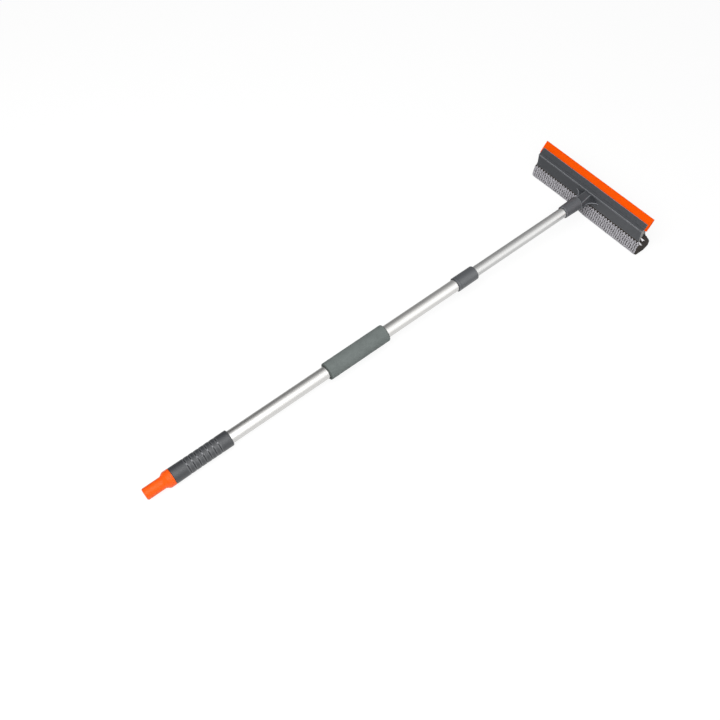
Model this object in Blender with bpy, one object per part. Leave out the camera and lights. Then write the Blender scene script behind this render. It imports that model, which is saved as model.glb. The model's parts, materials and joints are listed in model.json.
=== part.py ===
"""Telescopic window squeegee: a two-tube pole with a twist lock, and a head with a rubber blade and a netted sponge."""

import math

import bmesh
import bpy
import numpy as np
from mathutils import Vector

# Every length is in metres. X runs along the pole from its butt to the head, and Z is up.

# Pole, stations from the butt end
cap_neck_length = 0.0315
cap_flare_length = 0.0092
cap_collar_length = 0.0087
grip_length = 0.1067
bare_tube_below_foam = 0.1908
foam_length = 0.1225
bare_tube_above_foam = 0.1561
ferrule_length = 0.0434
drawn_length = 0.2143

# Tubes
lower_tube_diameter = 0.0220
lower_tube_wall = 0.0008
upper_tube_diameter = 0.0190
upper_tube_wall = 0.0008
upper_tube_length = 0.5300
tube_end_in_cap = 0.0090
tube_end_in_ferrule = 0.0140

# End cap
cap_neck_diameter = 0.0205
cap_collar_diameter = 0.0287
cap_end_rounding = 0.0026
cap_flare_steps = 8
cap_end_wall = 0.0040
cap_stem_length = 0.0280
cap_stem_wall = 0.0020
cap_stem_chamfer = 0.0012
cap_edge = 0.0005

# Ribbed grip
grip_butt_diameter = 0.0286
grip_waist_diameter = 0.0279
grip_top_diameter = 0.0282
grip_top_rounding = 0.0022
grip_edge = 0.0005
groove_count = 7
first_groove = 0.0272
groove_pitch = 0.00953
groove_depth = 0.0008
groove_half_width = 0.0016
bead_height = 0.0009
bead_half_length = 0.0015
bead_half_width = 0.0020
bead_line_angle = math.radians(-16)
groove_rows_shares = (-1.0, -0.55, 0.0, 0.55, 1.0)
grip_segments = 30

# Foam sleeve
foam_diameter = 0.0314
foam_rounding = 0.0016

# Ferrule at the mouth of the lower tube
ferrule_foot_diameter = 0.0264
ferrule_top_diameter = 0.0259
ferrule_foot_length = 0.0042
ferrule_groove_width = 0.0010
ferrule_groove_depth = 0.0005
ferrule_rounding = 0.0038
ferrule_mouth_chamfer = 0.0006

# Twist lock inside the tubes
lock_sleeve_length = 0.0380
lock_sleeve_bore = 0.0074
lock_taper_length = 0.0200
lock_taper_mouth = 0.0174
lock_slot_width = 0.0020
lock_slot_length = 0.0290
lock_slot_count = 4
lock_cone_length = 0.0150
lock_cone_proud = 0.0060
lock_key_width = 0.0012
lock_key_length = 0.0120
lock_key_inset = 0.0004
stud_diameter = 0.0060
stud_stop_diameter = 0.0090
stud_stop_length = 0.0030
stud_spare_length = 0.0040
stud_flange_length = 0.0030
stud_plug_length = 0.0220
stud_plug_bore = 0.0080
stud_plug_bore_depth = 0.0160
lock_thread_pitch = 0.0030
lock_release_turn = math.radians(270)

# Socket and hub of the head
socket_length = 0.0363
socket_mouth_diameter = 0.0233
socket_root_diameter = 0.0252
socket_mouth_edge = 0.0008
socket_bore_end_wall = 0.0080
hub_length = 0.0273
hub_half_width = 0.0127
hub_shoulder = -0.0022
hub_side_angle = math.radians(57)
hub_near_top = 0.0040
hub_far_top = 0.0076
hub_bottom = -0.0062
hub_sink = 0.0010
gusset_span = 0.0324
gusset_length = 0.0195
gusset_top = -0.0024
gusset_thickness = 0.0030
gusset_rim_width = 0.0013
gusset_rim_height = 0.0008
gusset_steps = 10

# Head body, one section all along
head_length = 0.2584
plate_angle = math.radians(88)
channel_angle = math.radians(38)
slot_angle = math.radians(52)
plate_height = 0.0255
plate_thickness = 0.0046
plate_foot_thickness = 0.0030
bend_above_axis = 0.0099
step_rib_height = 0.0009
step_rib_half_width = 0.0009
channel_height = 0.0156
lip_thickness = 0.0012
lip_flute_depth = 0.0005
lip_flute_start = 0.0040
lip_flute_end = 0.0066
slot_depth = 0.0118
back_lip_thickness = 0.0018
back_lip_drop = 0.0004
back_wall_depth = 0.0150
flange_reach = 0.0138
flange_drop = 0.0158
undercut_depth = 0.0026
undercut_width = 0.0006
lip_rounding = 0.0005
carrier_groove_width = 0.0044
carrier_groove_depth = 0.0055
carrier_groove_inset = 0.0022

# Rubber blade
blade_length = 0.2648
blade_reach = 0.0127
blade_root_thickness = 0.0040
blade_tip_thickness = 0.0020
blade_bead_thickness = 0.0050
blade_bead_height = 0.0020
blade_shoulder = 0.0030

# Sponge, its carrier strip and its net
pad_length = 0.2665
pad_drop = 0.0465
carrier_thickness = 0.0018
sponge_foot_back = 0.0066
sponge_toe_ahead = 0.0145
sponge_nose_ahead = 0.0258
sponge_nose_below = 0.0400
sponge_shoulder_ahead = 0.0268
sponge_shoulder_below = 0.0290
sponge_neck_ahead = 0.0195
sponge_neck_below = 0.0185
sponge_top_width = 0.0095
sponge_rounding = 0.0035
sponge_soft_rounding = 0.0050
net_thickness = 0.0007
net_columns = 36
net_rows = 7
net_gap_share = 0.60
net_top_margin = 0.0004

# Gaps
seat_gap = 0.0003
slide_gap = 0.0003
cut_overrun = 0.0020
round_segments = 32
arc_steps = 3

# Stations that follow
cap_length = cap_neck_length + cap_flare_length + cap_collar_length
grip_start = cap_length + seat_gap
grip_end = grip_start + grip_length
foam_start = grip_end + bare_tube_below_foam
foam_end = foam_start + foam_length
ferrule_start = foam_end + bare_tube_above_foam
ferrule_end = ferrule_start + ferrule_length
socket_start = ferrule_end + drawn_length
socket_end = socket_start + socket_length
head_station = socket_end + hub_length
lower_tube_start = cap_length - tube_end_in_cap
lower_tube_end = ferrule_end - tube_end_in_ferrule
upper_tube_end = socket_end - socket_bore_end_wall - seat_gap
upper_tube_start = upper_tube_end - upper_tube_length
lower_tube_bore = lower_tube_diameter - 2 * lower_tube_wall
upper_tube_bore = upper_tube_diameter - 2 * upper_tube_wall
over_lower_tube = lower_tube_diameter / 2 + seat_gap
in_lower_tube = lower_tube_bore / 2 - slide_gap
lock_travel = lock_thread_pitch * lock_release_turn / (2 * math.pi)

# Directions in the head's section, as X and Z
plate_up = Vector((math.cos(plate_angle), math.sin(plate_angle)))
plate_in = Vector((math.sin(plate_angle), -math.cos(plate_angle)))
channel_up = Vector((math.cos(channel_angle), math.sin(channel_angle)))
channel_out = Vector((-math.sin(channel_angle), math.cos(channel_angle)))
slot_up = Vector((math.cos(slot_angle), math.sin(slot_angle)))
slot_in = Vector((math.sin(slot_angle), -math.cos(slot_angle)))

# Points of the head's section, from the pole's axis at head_station
bend = Vector((0, bend_above_axis))
plate_foot = bend - plate_up * plate_height
plate_back_foot = plate_foot + plate_in * plate_foot_thickness
lip_top = bend + channel_up * channel_height
slot_width = blade_root_thickness + 2 * seat_gap
channel_thickness = lip_thickness + slot_width + back_lip_thickness
channel_back = lip_top + slot_in * channel_thickness - slot_up * back_wall_depth
flange_foot = bend + Vector((flange_reach, -flange_drop))
plate_back_top = Vector((bend.x + plate_thickness, flange_foot.y))


def clear_scene():
    for obj in list(bpy.data.objects):
        bpy.data.objects.remove(obj, do_unlink=True)


def material(name, colour, roughness, metallic=0.0):
    made = bpy.data.materials.new(name)
    made.use_nodes = True
    shader = made.node_tree.nodes["Principled BSDF"]
    shader.inputs["Base Color"].default_value = (*colour, 1.0)
    shader.inputs["Roughness"].default_value = roughness
    shader.inputs["Metallic"].default_value = metallic
    made.diffuse_color = (*colour, 1.0)
    return made


def empty(name, parent=None, station=0):
    made = bpy.data.objects.new(name, None)
    bpy.context.scene.collection.objects.link(made)
    made.parent = parent
    made.location = (station, 0, 0)
    return made


def object_of(name, bm, finish=None, parent=None, station=0, sharp=math.radians(35)):
    bmesh.ops.recalc_face_normals(bm, faces=bm.faces)
    if bm.calc_volume(signed=True) < 0:
        bmesh.ops.reverse_faces(bm, faces=bm.faces)
    mesh = bpy.data.meshes.new(name)
    bm.to_mesh(mesh)
    bm.free()
    mesh.shade_smooth()
    mesh.set_sharp_from_angle(angle=sharp)
    made = bpy.data.objects.new(name, mesh)
    bpy.context.scene.collection.objects.link(made)
    made.parent = parent
    made.location = (station, 0, 0)
    if finish:
        mesh.materials.append(finish)
    return made


def helper(name, bm, parent, station):
    made = object_of(name, bm, None, parent, station)
    made.hide_render = True
    made.display_type = "WIRE"
    return made


def combine(target, other, operation):
    modifier = target.modifiers.new(other.name, "BOOLEAN")
    modifier.object = other
    modifier.operation = operation
    modifier.solver = "EXACT"


def rounded(points, radii, steps=arc_steps):
    """The outline with each corner of a radius over 0 turned into an arc."""
    out = []
    for i, (corner, radius) in enumerate(zip(points, radii)):
        corner = Vector(corner)
        if not radius:
            out.append(corner)
            continue
        before = (Vector(points[i - 1]) - corner)
        after = (Vector(points[(i + 1) % len(points)]) - corner)
        turn = before.angle(after)
        reach = min(radius / math.tan(turn / 2), before.length / 2, after.length / 2)
        radius = reach * math.tan(turn / 2)
        before.normalize()
        after.normalize()
        centre = corner + (before + after).normalized() * (radius / math.sin(turn / 2))
        start = corner + before * reach - centre
        sweep = start.angle_signed(corner + after * reach - centre)
        for step in range(steps + 1):
            angle = -sweep * step / steps
            out.append(centre + Vector((
                start.x * math.cos(angle) - start.y * math.sin(angle),
                start.x * math.sin(angle) + start.y * math.cos(angle))))
    return out


def offset_path(points, distance):
    """An open path moved sideways, to its left where distance is positive."""
    out = []
    for i, point in enumerate(points):
        sides = []
        if i > 0:
            step = (point - points[i - 1]).normalized()
            sides.append(Vector((-step.y, step.x)))
        if i < len(points) - 1:
            step = (points[i + 1] - point).normalized()
            sides.append(Vector((-step.y, step.x)))
        side = sum(sides, Vector((0, 0))).normalized()
        out.append(point + side * (distance / side.dot(sides[0])))
    return out


def turned_mesh(outline, segments=round_segments):
    """An outline of X and radius, spun about X. One that starts and ends on the axis makes a solid body."""
    bm = bmesh.new()
    points = [bm.verts.new((x, 0, r)) for x, r in outline]
    edges = [bm.edges.new(pair) for pair in zip(points, points[1:])]
    if outline[0][1] > 0:
        edges.append(bm.edges.new((points[-1], points[0])))
    bmesh.ops.spin(bm, geom=points + edges, cent=(0, 0, 0), axis=(1, 0, 0), angle=2 * math.pi,
                   steps=segments, use_merge=True)
    on_axis = [v for v in bm.verts if math.hypot(v.co.y, v.co.z) < seat_gap / 100]
    bmesh.ops.remove_doubles(bm, verts=on_axis, dist=seat_gap / 100)
    return bm


def extruded_mesh(outline, half_length):
    """An outline of X and Z, extruded along Y."""
    bm = bmesh.new()
    face = bm.faces.new([bm.verts.new((x, -half_length, z)) for x, z in outline])
    made = bmesh.ops.extrude_face_region(bm, geom=[face])
    far = [v for v in made["geom"] if isinstance(v, bmesh.types.BMVert)]
    bmesh.ops.translate(bm, verts=far, vec=(0, 2 * half_length, 0))
    return bm


def plan_mesh(outline, bottom, top):
    """An outline of X and Y, extruded from bottom to top."""
    bm = bmesh.new()
    face = bm.faces.new([bm.verts.new((x, y, bottom)) for x, y in outline])
    made = bmesh.ops.extrude_face_region(bm, geom=[face])
    far = [v for v in made["geom"] if isinstance(v, bmesh.types.BMVert)]
    bmesh.ops.translate(bm, verts=far, vec=(0, 0, top - bottom))
    return bm


def box_mesh(low, high):
    bm = bmesh.new()
    bmesh.ops.create_cube(bm, size=1)
    for v in bm.verts:
        v.co = Vector([low[i] if v.co[i] < 0 else high[i] for i in range(3)])
    return bm


def corner_arc(centre_x, centre_r, radius, start, end, steps=arc_steps):
    return [(centre_x + radius * math.cos(a), centre_r + radius * math.sin(a))
            for a in np.linspace(start, end, steps + 1)]


def end_cap(pole, finish):
    neck = cap_neck_diameter / 2
    collar = cap_collar_diameter / 2
    stem = lower_tube_bore / 2 - seat_gap
    tube_seat = lower_tube_start - seat_gap
    stem_end = lower_tube_start + cap_stem_length
    hollow = stem - cap_stem_wall
    outline = [(0, 0)]
    outline += corner_arc(cap_end_rounding, neck - cap_end_rounding, cap_end_rounding, math.pi, math.pi / 2)
    for step in range(cap_flare_steps + 1):
        share = step / cap_flare_steps
        rise = (1 - math.cos(math.pi * share)) / 2
        outline.append((cap_neck_length + cap_flare_length * share, neck + (collar - neck) * rise))
    outline += [
        (cap_length - cap_edge, collar),
        (cap_length, collar - cap_edge),
        (cap_length, over_lower_tube),
        (tube_seat, over_lower_tube),
        (tube_seat, stem),
        (stem_end - cap_stem_chamfer, stem),
        (stem_end, stem - cap_stem_chamfer),
        (stem_end, hollow),
        (cap_end_wall, hollow),
        (cap_end_wall, 0),
    ]
    return object_of("end_cap", turned_mesh(outline), finish, pole)


def grip_radius(x):
    """The smooth radius of the grip, widest at its butt, and rounded at its far edge."""
    share = x / grip_length
    butt = grip_butt_diameter / 2
    waist = grip_waist_diameter / 2
    top = grip_top_diameter / 2
    if share < 1 / 2:
        radius = butt + (waist - butt) * math.sin(math.pi * share)
    else:
        radius = waist + (top - waist) * (2 * share - 1)
    if x < grip_edge:
        radius -= grip_edge
    into_rounding = (x - grip_length + grip_top_rounding) / grip_top_rounding
    if into_rounding > 0:
        drop = 1 - math.sqrt(max(0, 1 - into_rounding * into_rounding))
        radius -= (grip_top_rounding - grip_edge) * drop
    return radius


def ribbed_grip(pole, finish):
    """Grooves round the grip, each one broken on top by a raised bead."""
    rows = [0, grip_edge, first_groove / 2]
    for groove in range(groove_count):
        middle = first_groove + groove * groove_pitch
        rows += [middle + share * groove_half_width for share in groove_rows_shares]
        rows.append(middle + groove_pitch / 2)
    rows += [grip_length - grip_top_rounding]
    rows += [grip_length - grip_top_rounding * (1 - math.sin(a)) for a in (math.pi / 6, math.pi / 3)]
    rows += [grip_length]
    bm = bmesh.new()
    rings = []
    for x in rows:
        nearest = min(max(round((x - first_groove) / groove_pitch), 0), groove_count - 1)
        off_groove = x - first_groove - nearest * groove_pitch
        groove = groove_depth * math.exp(-2 * (off_groove / groove_half_width) ** 2)
        bead = (bead_height + groove_depth) * math.exp(-(off_groove / bead_half_length) ** 2)
        ring = []
        for step in range(grip_segments):
            angle = 2 * math.pi * step / grip_segments
            across = grip_radius(x) * math.remainder(angle - bead_line_angle, 2 * math.pi)
            radius = grip_radius(x) - groove + bead * math.exp(-(across / bead_half_width) ** 2)
            ring.append(bm.verts.new((x, radius * math.sin(angle), radius * math.cos(angle))))
        rings.append(ring)
    for x in (grip_length, 0):
        rings.append([bm.verts.new((x, over_lower_tube * math.sin(2 * math.pi * step / grip_segments),
                                    over_lower_tube * math.cos(2 * math.pi * step / grip_segments)))
                      for step in range(grip_segments)])
    for near, far in zip(rings, rings[1:] + rings[:1]):
        for step in range(grip_segments):
            after = (step + 1) % grip_segments
            bm.faces.new((near[step], near[after], far[after], far[step]))
    return object_of("ribbed_grip", bm, finish, pole, grip_start)


def lower_tube(pole, finish):
    length = lower_tube_end - lower_tube_start
    outer = lower_tube_diameter / 2
    inner = lower_tube_bore / 2
    outline = [(0, outer), (length, outer), (length, inner), (0, inner)]
    return object_of("lower_tube", turned_mesh(outline), finish, pole, lower_tube_start)


def foam_sleeve(pole, finish):
    outer = foam_diameter / 2
    outline = [(0, over_lower_tube)]
    outline += corner_arc(foam_rounding, outer - foam_rounding, foam_rounding, math.pi, math.pi / 2)
    outline += corner_arc(foam_length - foam_rounding, outer - foam_rounding, foam_rounding, math.pi / 2, 0)
    outline += [(foam_length, over_lower_tube)]
    return object_of("foam_sleeve", turned_mesh(outline), finish, pole, foam_start)


def tube_ferrule(pole, finish):
    foot = ferrule_foot_diameter / 2
    top = ferrule_top_diameter / 2
    guide = upper_tube_diameter / 2 + slide_gap
    step = lower_tube_end + seat_gap - ferrule_start
    after_groove = ferrule_foot_length + ferrule_groove_width
    outline = [
        (0, over_lower_tube),
        (0, foot - ferrule_mouth_chamfer),
        (ferrule_mouth_chamfer, foot),
        (ferrule_foot_length, foot),
        (ferrule_foot_length, foot - ferrule_groove_depth),
        (after_groove, foot - ferrule_groove_depth),
        (after_groove, foot),
    ]
    outline += corner_arc(ferrule_length - ferrule_rounding, top - ferrule_rounding, ferrule_rounding,
                          math.pi / 2, 0, 5)
    outline += [
        (ferrule_length, guide + ferrule_mouth_chamfer),
        (ferrule_length - ferrule_mouth_chamfer, guide),
        (step, guide),
        (step, over_lower_tube),
    ]
    return object_of("tube_ferrule", turned_mesh(outline), finish, pole, ferrule_start)


def lock_sleeve(slider, finish):
    """A slotted sleeve that the cone spreads against the lower tube. Its station is the upper tube's end."""
    outer = in_lower_tube
    top = -stud_flange_length - seat_gap
    foot = top - lock_sleeve_length
    outline = [
        (foot, lock_taper_mouth / 2),
        (foot, outer - lock_key_inset),
        (foot + lock_key_inset, outer),
        (top, outer),
        (top, lock_sleeve_bore / 2),
        (foot + lock_taper_length, lock_sleeve_bore / 2),
    ]
    made = object_of("lock_sleeve", turned_mesh(outline, 24), finish, slider, upper_tube_start)
    half = lock_slot_width / 2
    for slot in range(lock_slot_count // 2):
        low = (foot - cut_overrun, -half, -outer - cut_overrun)
        high = (foot + lock_slot_length, half, outer + cut_overrun)
        cutter = helper(f"lock_slot_{slot + 1}", box_mesh(low, high), slider, upper_tube_start)
        cutter.rotation_euler.x = 2 * math.pi * slot / lock_slot_count
        combine(made, cutter, "DIFFERENCE")
    return made


def lock_cone(carrier, finish):
    """The wedge on the stud. Its keys ride in the sleeve's slots, so it slides and doesn't turn."""
    foot = -stud_flange_length - seat_gap - lock_sleeve_length
    slope = (lock_taper_mouth - lock_sleeve_bore) / 2 / lock_taper_length
    lean = math.hypot(1, slope)
    start = foot - lock_cone_proud
    end = start + lock_cone_length
    bore = stud_diameter / 2 + slide_gap

    def wedge(x):
        return lock_taper_mouth / 2 - slope * (x - foot) - slide_gap * lean

    outline = [(start, bore), (start, wedge(foot)), (foot, wedge(foot)), (end, wedge(end)), (end, bore)]
    made = object_of("lock_cone", turned_mesh(outline, 24), finish, carrier, upper_tube_start)
    half = lock_key_width / 2
    reach = in_lower_tube - lock_key_inset
    for index in range(lock_slot_count):
        low = (foot - lock_cone_proud, -half, bore + lock_key_inset)
        high = (foot - lock_cone_proud + lock_key_length, half, reach)
        key = helper(f"lock_key_{index + 1}", box_mesh(low, high), carrier, upper_tube_start)
        key.rotation_euler.x = 2 * math.pi * index / lock_slot_count
        combine(made, key, "UNION")
    return made


def lock_stud(turner, finish):
    """A threaded stud with a stop at its end, moulded on the plug in the upper tube's end."""
    plug = upper_tube_bore / 2 - seat_gap
    flange = upper_tube_diameter / 2
    stud = stud_diameter / 2
    cone_foot = -stud_flange_length - seat_gap - lock_sleeve_length - lock_cone_proud
    stop = cone_foot - lock_travel - stud_spare_length
    outline = [
        (stop - stud_stop_length, 0),
        (stop - stud_stop_length, stud_stop_diameter / 2 - cap_edge),
        (stop - stud_stop_length + cap_edge, stud_stop_diameter / 2),
        (stop, stud_stop_diameter / 2),
        (stop, stud),
        (-stud_flange_length, stud),
        (-stud_flange_length, flange),
        (-seat_gap, flange),
        (-seat_gap, plug),
        (stud_plug_length - cap_stem_chamfer, plug),
        (stud_plug_length, plug - cap_stem_chamfer),
        (stud_plug_length, stud_plug_bore / 2),
        (stud_plug_length - stud_plug_bore_depth, stud_plug_bore / 2),
        (stud_plug_length - stud_plug_bore_depth, 0),
    ]
    return object_of("lock_stud", turned_mesh(outline, 24), finish, turner, upper_tube_start)


def upper_tube(turner, finish):
    outer = upper_tube_diameter / 2
    inner = upper_tube_bore / 2
    outline = [(0, outer), (upper_tube_length, outer), (upper_tube_length, inner), (0, inner)]
    return object_of("upper_tube", turned_mesh(outline), finish, turner, upper_tube_start)


def head_section():
    """The head body's outline: the plate, the bend with its rib, the channel for the blade, and the flange behind."""
    slot_far = lip_thickness + slot_width
    floor = -slot_depth

    def channel(up, inward):
        return lip_top + slot_up * up + slot_in * inward

    def lip_face(up, outward):
        return bend + channel_up * up + channel_out * outward

    groove_near = plate_back_top + Vector((carrier_groove_inset, 0))
    groove_far = groove_near + Vector((carrier_groove_width, 0))
    deep = Vector((0, carrier_groove_depth))
    corners = [
        (plate_foot, lip_rounding),
        (bend - plate_up * step_rib_half_width, 0),
        (bend - plate_up * step_rib_half_width / 2 - plate_in * step_rib_height, 0),
        (lip_face(step_rib_half_width / 2, step_rib_height), 0),
        (lip_face(step_rib_half_width, 0), 0),
        (lip_face(lip_flute_start, 0), 0),
        (lip_face(lip_flute_start, -lip_flute_depth), 0),
        (lip_face(lip_flute_end, -lip_flute_depth), 0),
        (lip_face(lip_flute_end, 0), 0),
        (lip_top, lip_rounding),
        (channel(0, lip_thickness), 0),
        (channel(floor + undercut_depth, lip_thickness), 0),
        (channel(floor + undercut_depth, lip_thickness - undercut_width), 0),
        (channel(floor, lip_thickness - undercut_width), 0),
        (channel(floor, slot_far + undercut_width), 0),
        (channel(floor + undercut_depth, slot_far + undercut_width), 0),
        (channel(floor + undercut_depth, slot_far), 0),
        (channel(-back_lip_drop, slot_far), 0),
        (channel(-back_lip_drop, channel_thickness), lip_rounding),
        (channel_back, 0),
        (flange_foot, lip_rounding),
        (groove_far, 0),
        (groove_far + deep, 0),
        (groove_near + deep, 0),
        (groove_near, 0),
        (plate_back_top, 0),
        (plate_back_foot, lip_rounding),
    ]
    return rounded([point for point, _ in corners], [radius for _, radius in corners], 2)


def socket_mesh():
    """The tapered socket, closed at its root, with its origin at the head's station."""
    mouth = socket_mouth_diameter / 2
    root = socket_root_diameter / 2
    start = socket_start - head_station
    end = socket_end - head_station
    bore = upper_tube_diameter / 2 + seat_gap
    outline = [
        (start, bore),
        (start, mouth - socket_mouth_edge),
        (start + socket_mouth_edge, mouth),
        (end, root),
        (end, 0),
        (end - socket_bore_end_wall, 0),
        (end - socket_bore_end_wall, bore),
    ]
    bm = bmesh.new()
    points = [bm.verts.new((x, 0, r)) for x, r in outline]
    edges = [bm.edges.new(pair) for pair in zip(points, points[1:] + points[:1])
             if pair[0].co.z > 0 or pair[1].co.z > 0]
    bmesh.ops.spin(bm, geom=points + edges, cent=(0, 0, 0), axis=(1, 0, 0), angle=2 * math.pi,
                   steps=round_segments, use_merge=True)
    bmesh.ops.remove_doubles(bm, verts=bm.verts, dist=seat_gap / 100)
    return bm


def hub_mesh():
    """The block between the socket and the plate, with sloping sides and a top that rises towards the plate."""
    near = socket_end - head_station - hub_sink
    far = bend.x + hub_sink
    bm = bmesh.new()
    ends = []
    for x, top in ((near, hub_near_top), (far, hub_far_top)):
        narrow = hub_half_width - (top - hub_shoulder) / math.tan(hub_side_angle)
        section = [(-hub_half_width, hub_bottom), (hub_half_width, hub_bottom), (hub_half_width, hub_shoulder),
                   (narrow, top), (-narrow, top), (-hub_half_width, hub_shoulder)]
        ends.append([bm.verts.new((x, y, z)) for y, z in section])
    for i, corner in enumerate(ends[0]):
        j = (i + 1) % len(ends[0])
        bm.faces.new((corner, ends[0][j], ends[1][j], ends[1][i]))
    bm.faces.new(ends[0])
    bm.faces.new(ends[1])
    return bm


def gusset_curve(side, inset):
    """The hollow front edge of a gusset, a quarter of an ellipse from the hub's side to the plate."""
    points = []
    for step in range(gusset_steps + 1):
        angle = math.pi / 2 * step / gusset_steps
        x = (gusset_length - inset) * (math.sin(angle) - 1)
        y = gusset_span - inset - (gusset_span - hub_half_width) * math.cos(angle)
        points.append((x, side * y))
    return points


def gusset_web(side):
    front = gusset_curve(side, 0)
    outline = front + [(hub_sink, side * gusset_span), (hub_sink, 0), (-gusset_length, 0)]
    return plan_mesh(outline, gusset_top - gusset_thickness, gusset_top)


def gusset_rim(side):
    front = gusset_curve(side, 0)
    behind = gusset_curve(side, gusset_rim_width)
    outline = front + [(hub_sink, side * gusset_span), (hub_sink, side * (gusset_span - gusset_rim_width))]
    outline += list(reversed(behind))
    return plan_mesh(outline, gusset_top - gusset_rim_height, gusset_top + gusset_rim_height)


def head_body(turner, finish):
    made = object_of("head_body", extruded_mesh(head_section(), head_length / 2), finish, turner, head_station,
                     math.radians(28))
    combine(made, helper("hub_block", hub_mesh(), turner, head_station), "UNION")
    for side in (1, -1):
        hand = "left" if side > 0 else "right"
        combine(made, helper(f"gusset_web_{hand}", gusset_web(side), turner, head_station), "UNION")
        combine(made, helper(f"gusset_rim_{hand}", gusset_rim(side), turner, head_station), "UNION")
    combine(made, helper("socket", socket_mesh(), turner, head_station), "UNION")
    return made


def rubber_blade(turner, finish):
    """The rubber strip: a bead in the slot's undercut, a straight root and a tapered lip."""
    middle = lip_thickness + slot_width / 2
    foot = -slot_depth + seat_gap
    root = blade_root_thickness / 2
    bead = blade_bead_thickness / 2
    tip = blade_tip_thickness / 2
    shape = [
        (foot, bead), (foot + blade_bead_height, bead), (foot + blade_bead_height, root),
        (blade_shoulder, root), (blade_reach, tip),
        (blade_reach, -tip), (blade_shoulder, -root), (foot + blade_bead_height, -root),
        (foot + blade_bead_height, -bead), (foot, -bead),
    ]
    outline = [lip_top + slot_up * up + slot_in * (middle - across) for up, across in shape]
    return object_of("rubber_blade", extruded_mesh(outline, blade_length / 2), finish, turner, head_station)


def sponge_carrier(turner, finish):
    """The strip that the sponge is glued to, with a rail in the body's groove."""
    near = plate_back_top.x + carrier_groove_inset + seat_gap
    far = near + carrier_groove_width - 2 * seat_gap
    face = flange_foot.y - seat_gap
    under = face - carrier_thickness
    start = plate_back_top.x + seat_gap
    outline = [
        (start, face), (near, face), (near, flange_foot.y + carrier_groove_depth - seat_gap),
        (far, flange_foot.y + carrier_groove_depth - seat_gap), (far, face),
        (start + sponge_top_width, face), (start + sponge_top_width, under), (start, under),
    ]
    return object_of("sponge_carrier", extruded_mesh(outline, head_length / 2), finish, turner, head_station)


def resting_tilt():
    """The angle that the pole makes with the floor, lying on the grip's butt edge and the net's front edge."""
    span = head_station + sponge_toe_ahead - grip_start
    return math.atan2(pad_drop - grip_butt_diameter / 2, span)


def sponge_outline():
    """Corners of the sponge's section, from behind the plate round under the head to the carrier's far edge."""
    shell = net_thickness + 2 * seat_gap
    top = flange_foot.y - carrier_thickness - 2 * seat_gap
    bottom = -pad_drop + shell
    foot_drop = bottom + (sponge_toe_ahead + sponge_foot_back) * math.tan(resting_tilt())
    start = plate_back_top.x + seat_gap
    under_plate = plate_foot - plate_up * seat_gap
    return [
        (Vector((start + sponge_top_width, top)), 0),
        (Vector((start, top)), 0),
        (Vector((start, under_plate.y)), 0),
        (Vector((under_plate.x + shell, under_plate.y)), 0),
        (Vector((-sponge_foot_back + shell, foot_drop)), sponge_rounding),
        (Vector((sponge_toe_ahead, bottom)), sponge_soft_rounding),
        (Vector((sponge_nose_ahead, -sponge_nose_below)), sponge_soft_rounding),
        (Vector((sponge_shoulder_ahead, -sponge_shoulder_below)), sponge_rounding),
        (Vector((sponge_neck_ahead, -sponge_neck_below)), 0),
    ]


def sponge(turner, finish):
    corners = sponge_outline()
    outline = rounded([point for point, _ in corners], [radius for _, radius in corners])
    return object_of("sponge", extruded_mesh(outline, pad_length / 2), finish, turner, head_station)


def net_cover(turner, finish):
    """A net of diamonds over the sponge's near face, whose top edge is a row of points, and its wrap round the back."""
    corners = sponge_outline()
    shape = rounded([point for point, _ in corners], [radius for _, radius in corners])
    path = offset_path(shape[3:], -seat_gap - net_thickness / 2)
    top = path[0]
    turn = path[1]
    half_width = pad_length / net_columns / 2
    half_height = ((turn - top).length - net_top_margin) / (net_rows + 1)
    down = (turn - top).normalized()
    bm = bmesh.new()
    known = {}

    def vertex(column, row, pull=None):
        key = (column, row, pull)
        if key not in known:
            place = Vector((column * half_width - pad_length / 2, net_top_margin + row * half_height))
            if pull is not None:
                middle = Vector((pull[0] * half_width - pad_length / 2, net_top_margin + pull[1] * half_height))
                place = middle + (place - middle) * net_gap_share
            point = top + down * place.y
            known[key] = bm.verts.new((point.x, place.x, point.y))
        return known[key]

    columns = 2 * net_columns
    for row in range(1, net_rows + 1):
        for column in range(row % 2, columns + 1, 2):
            ring = [(column, row - 1), (column + 1, row), (column, row + 1), (column - 1, row)]
            ring = [(c, r) for c, r in ring if 0 <= c <= columns]
            if len(ring) < 4:
                bm.faces.new([vertex(c, r) for c, r in ring])
                continue
            for i in range(4):
                first = ring[i]
                second = ring[(i + 1) % 4]
                bm.faces.new((vertex(*first), vertex(*second),
                              vertex(*second, (column, row)), vertex(*first, (column, row))))
    last = net_rows + 1
    for column in range(last % 2, columns + 1, 2):
        ring = [(column, last - 1), (column + 1, last), (column - 1, last)]
        bm.faces.new([vertex(c, r) for c, r in ring if 0 <= c <= columns] if 0 < column < columns else
                     [vertex(column, last - 1), vertex(column, last),
                      vertex(column + 1 if column == 0 else column - 1, last)])
    bottom = sorted((v for key, v in known.items() if key[1] == last and key[2] is None), key=lambda v: v.co.y)
    edge = bottom
    for point in path[2:]:
        ends = [bm.verts.new((point.x, bottom[0].co.y, point.y)), bm.verts.new((point.x, bottom[-1].co.y, point.y))]
        bm.faces.new(edge + list(reversed(ends)))
        edge = ends
    made = object_of("net_cover", bm, finish, turner, head_station)
    wall = made.modifiers.new("net_thickness", "SOLIDIFY")
    wall.thickness = net_thickness
    wall.offset = 0
    wall.use_even_offset = True
    return made


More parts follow.
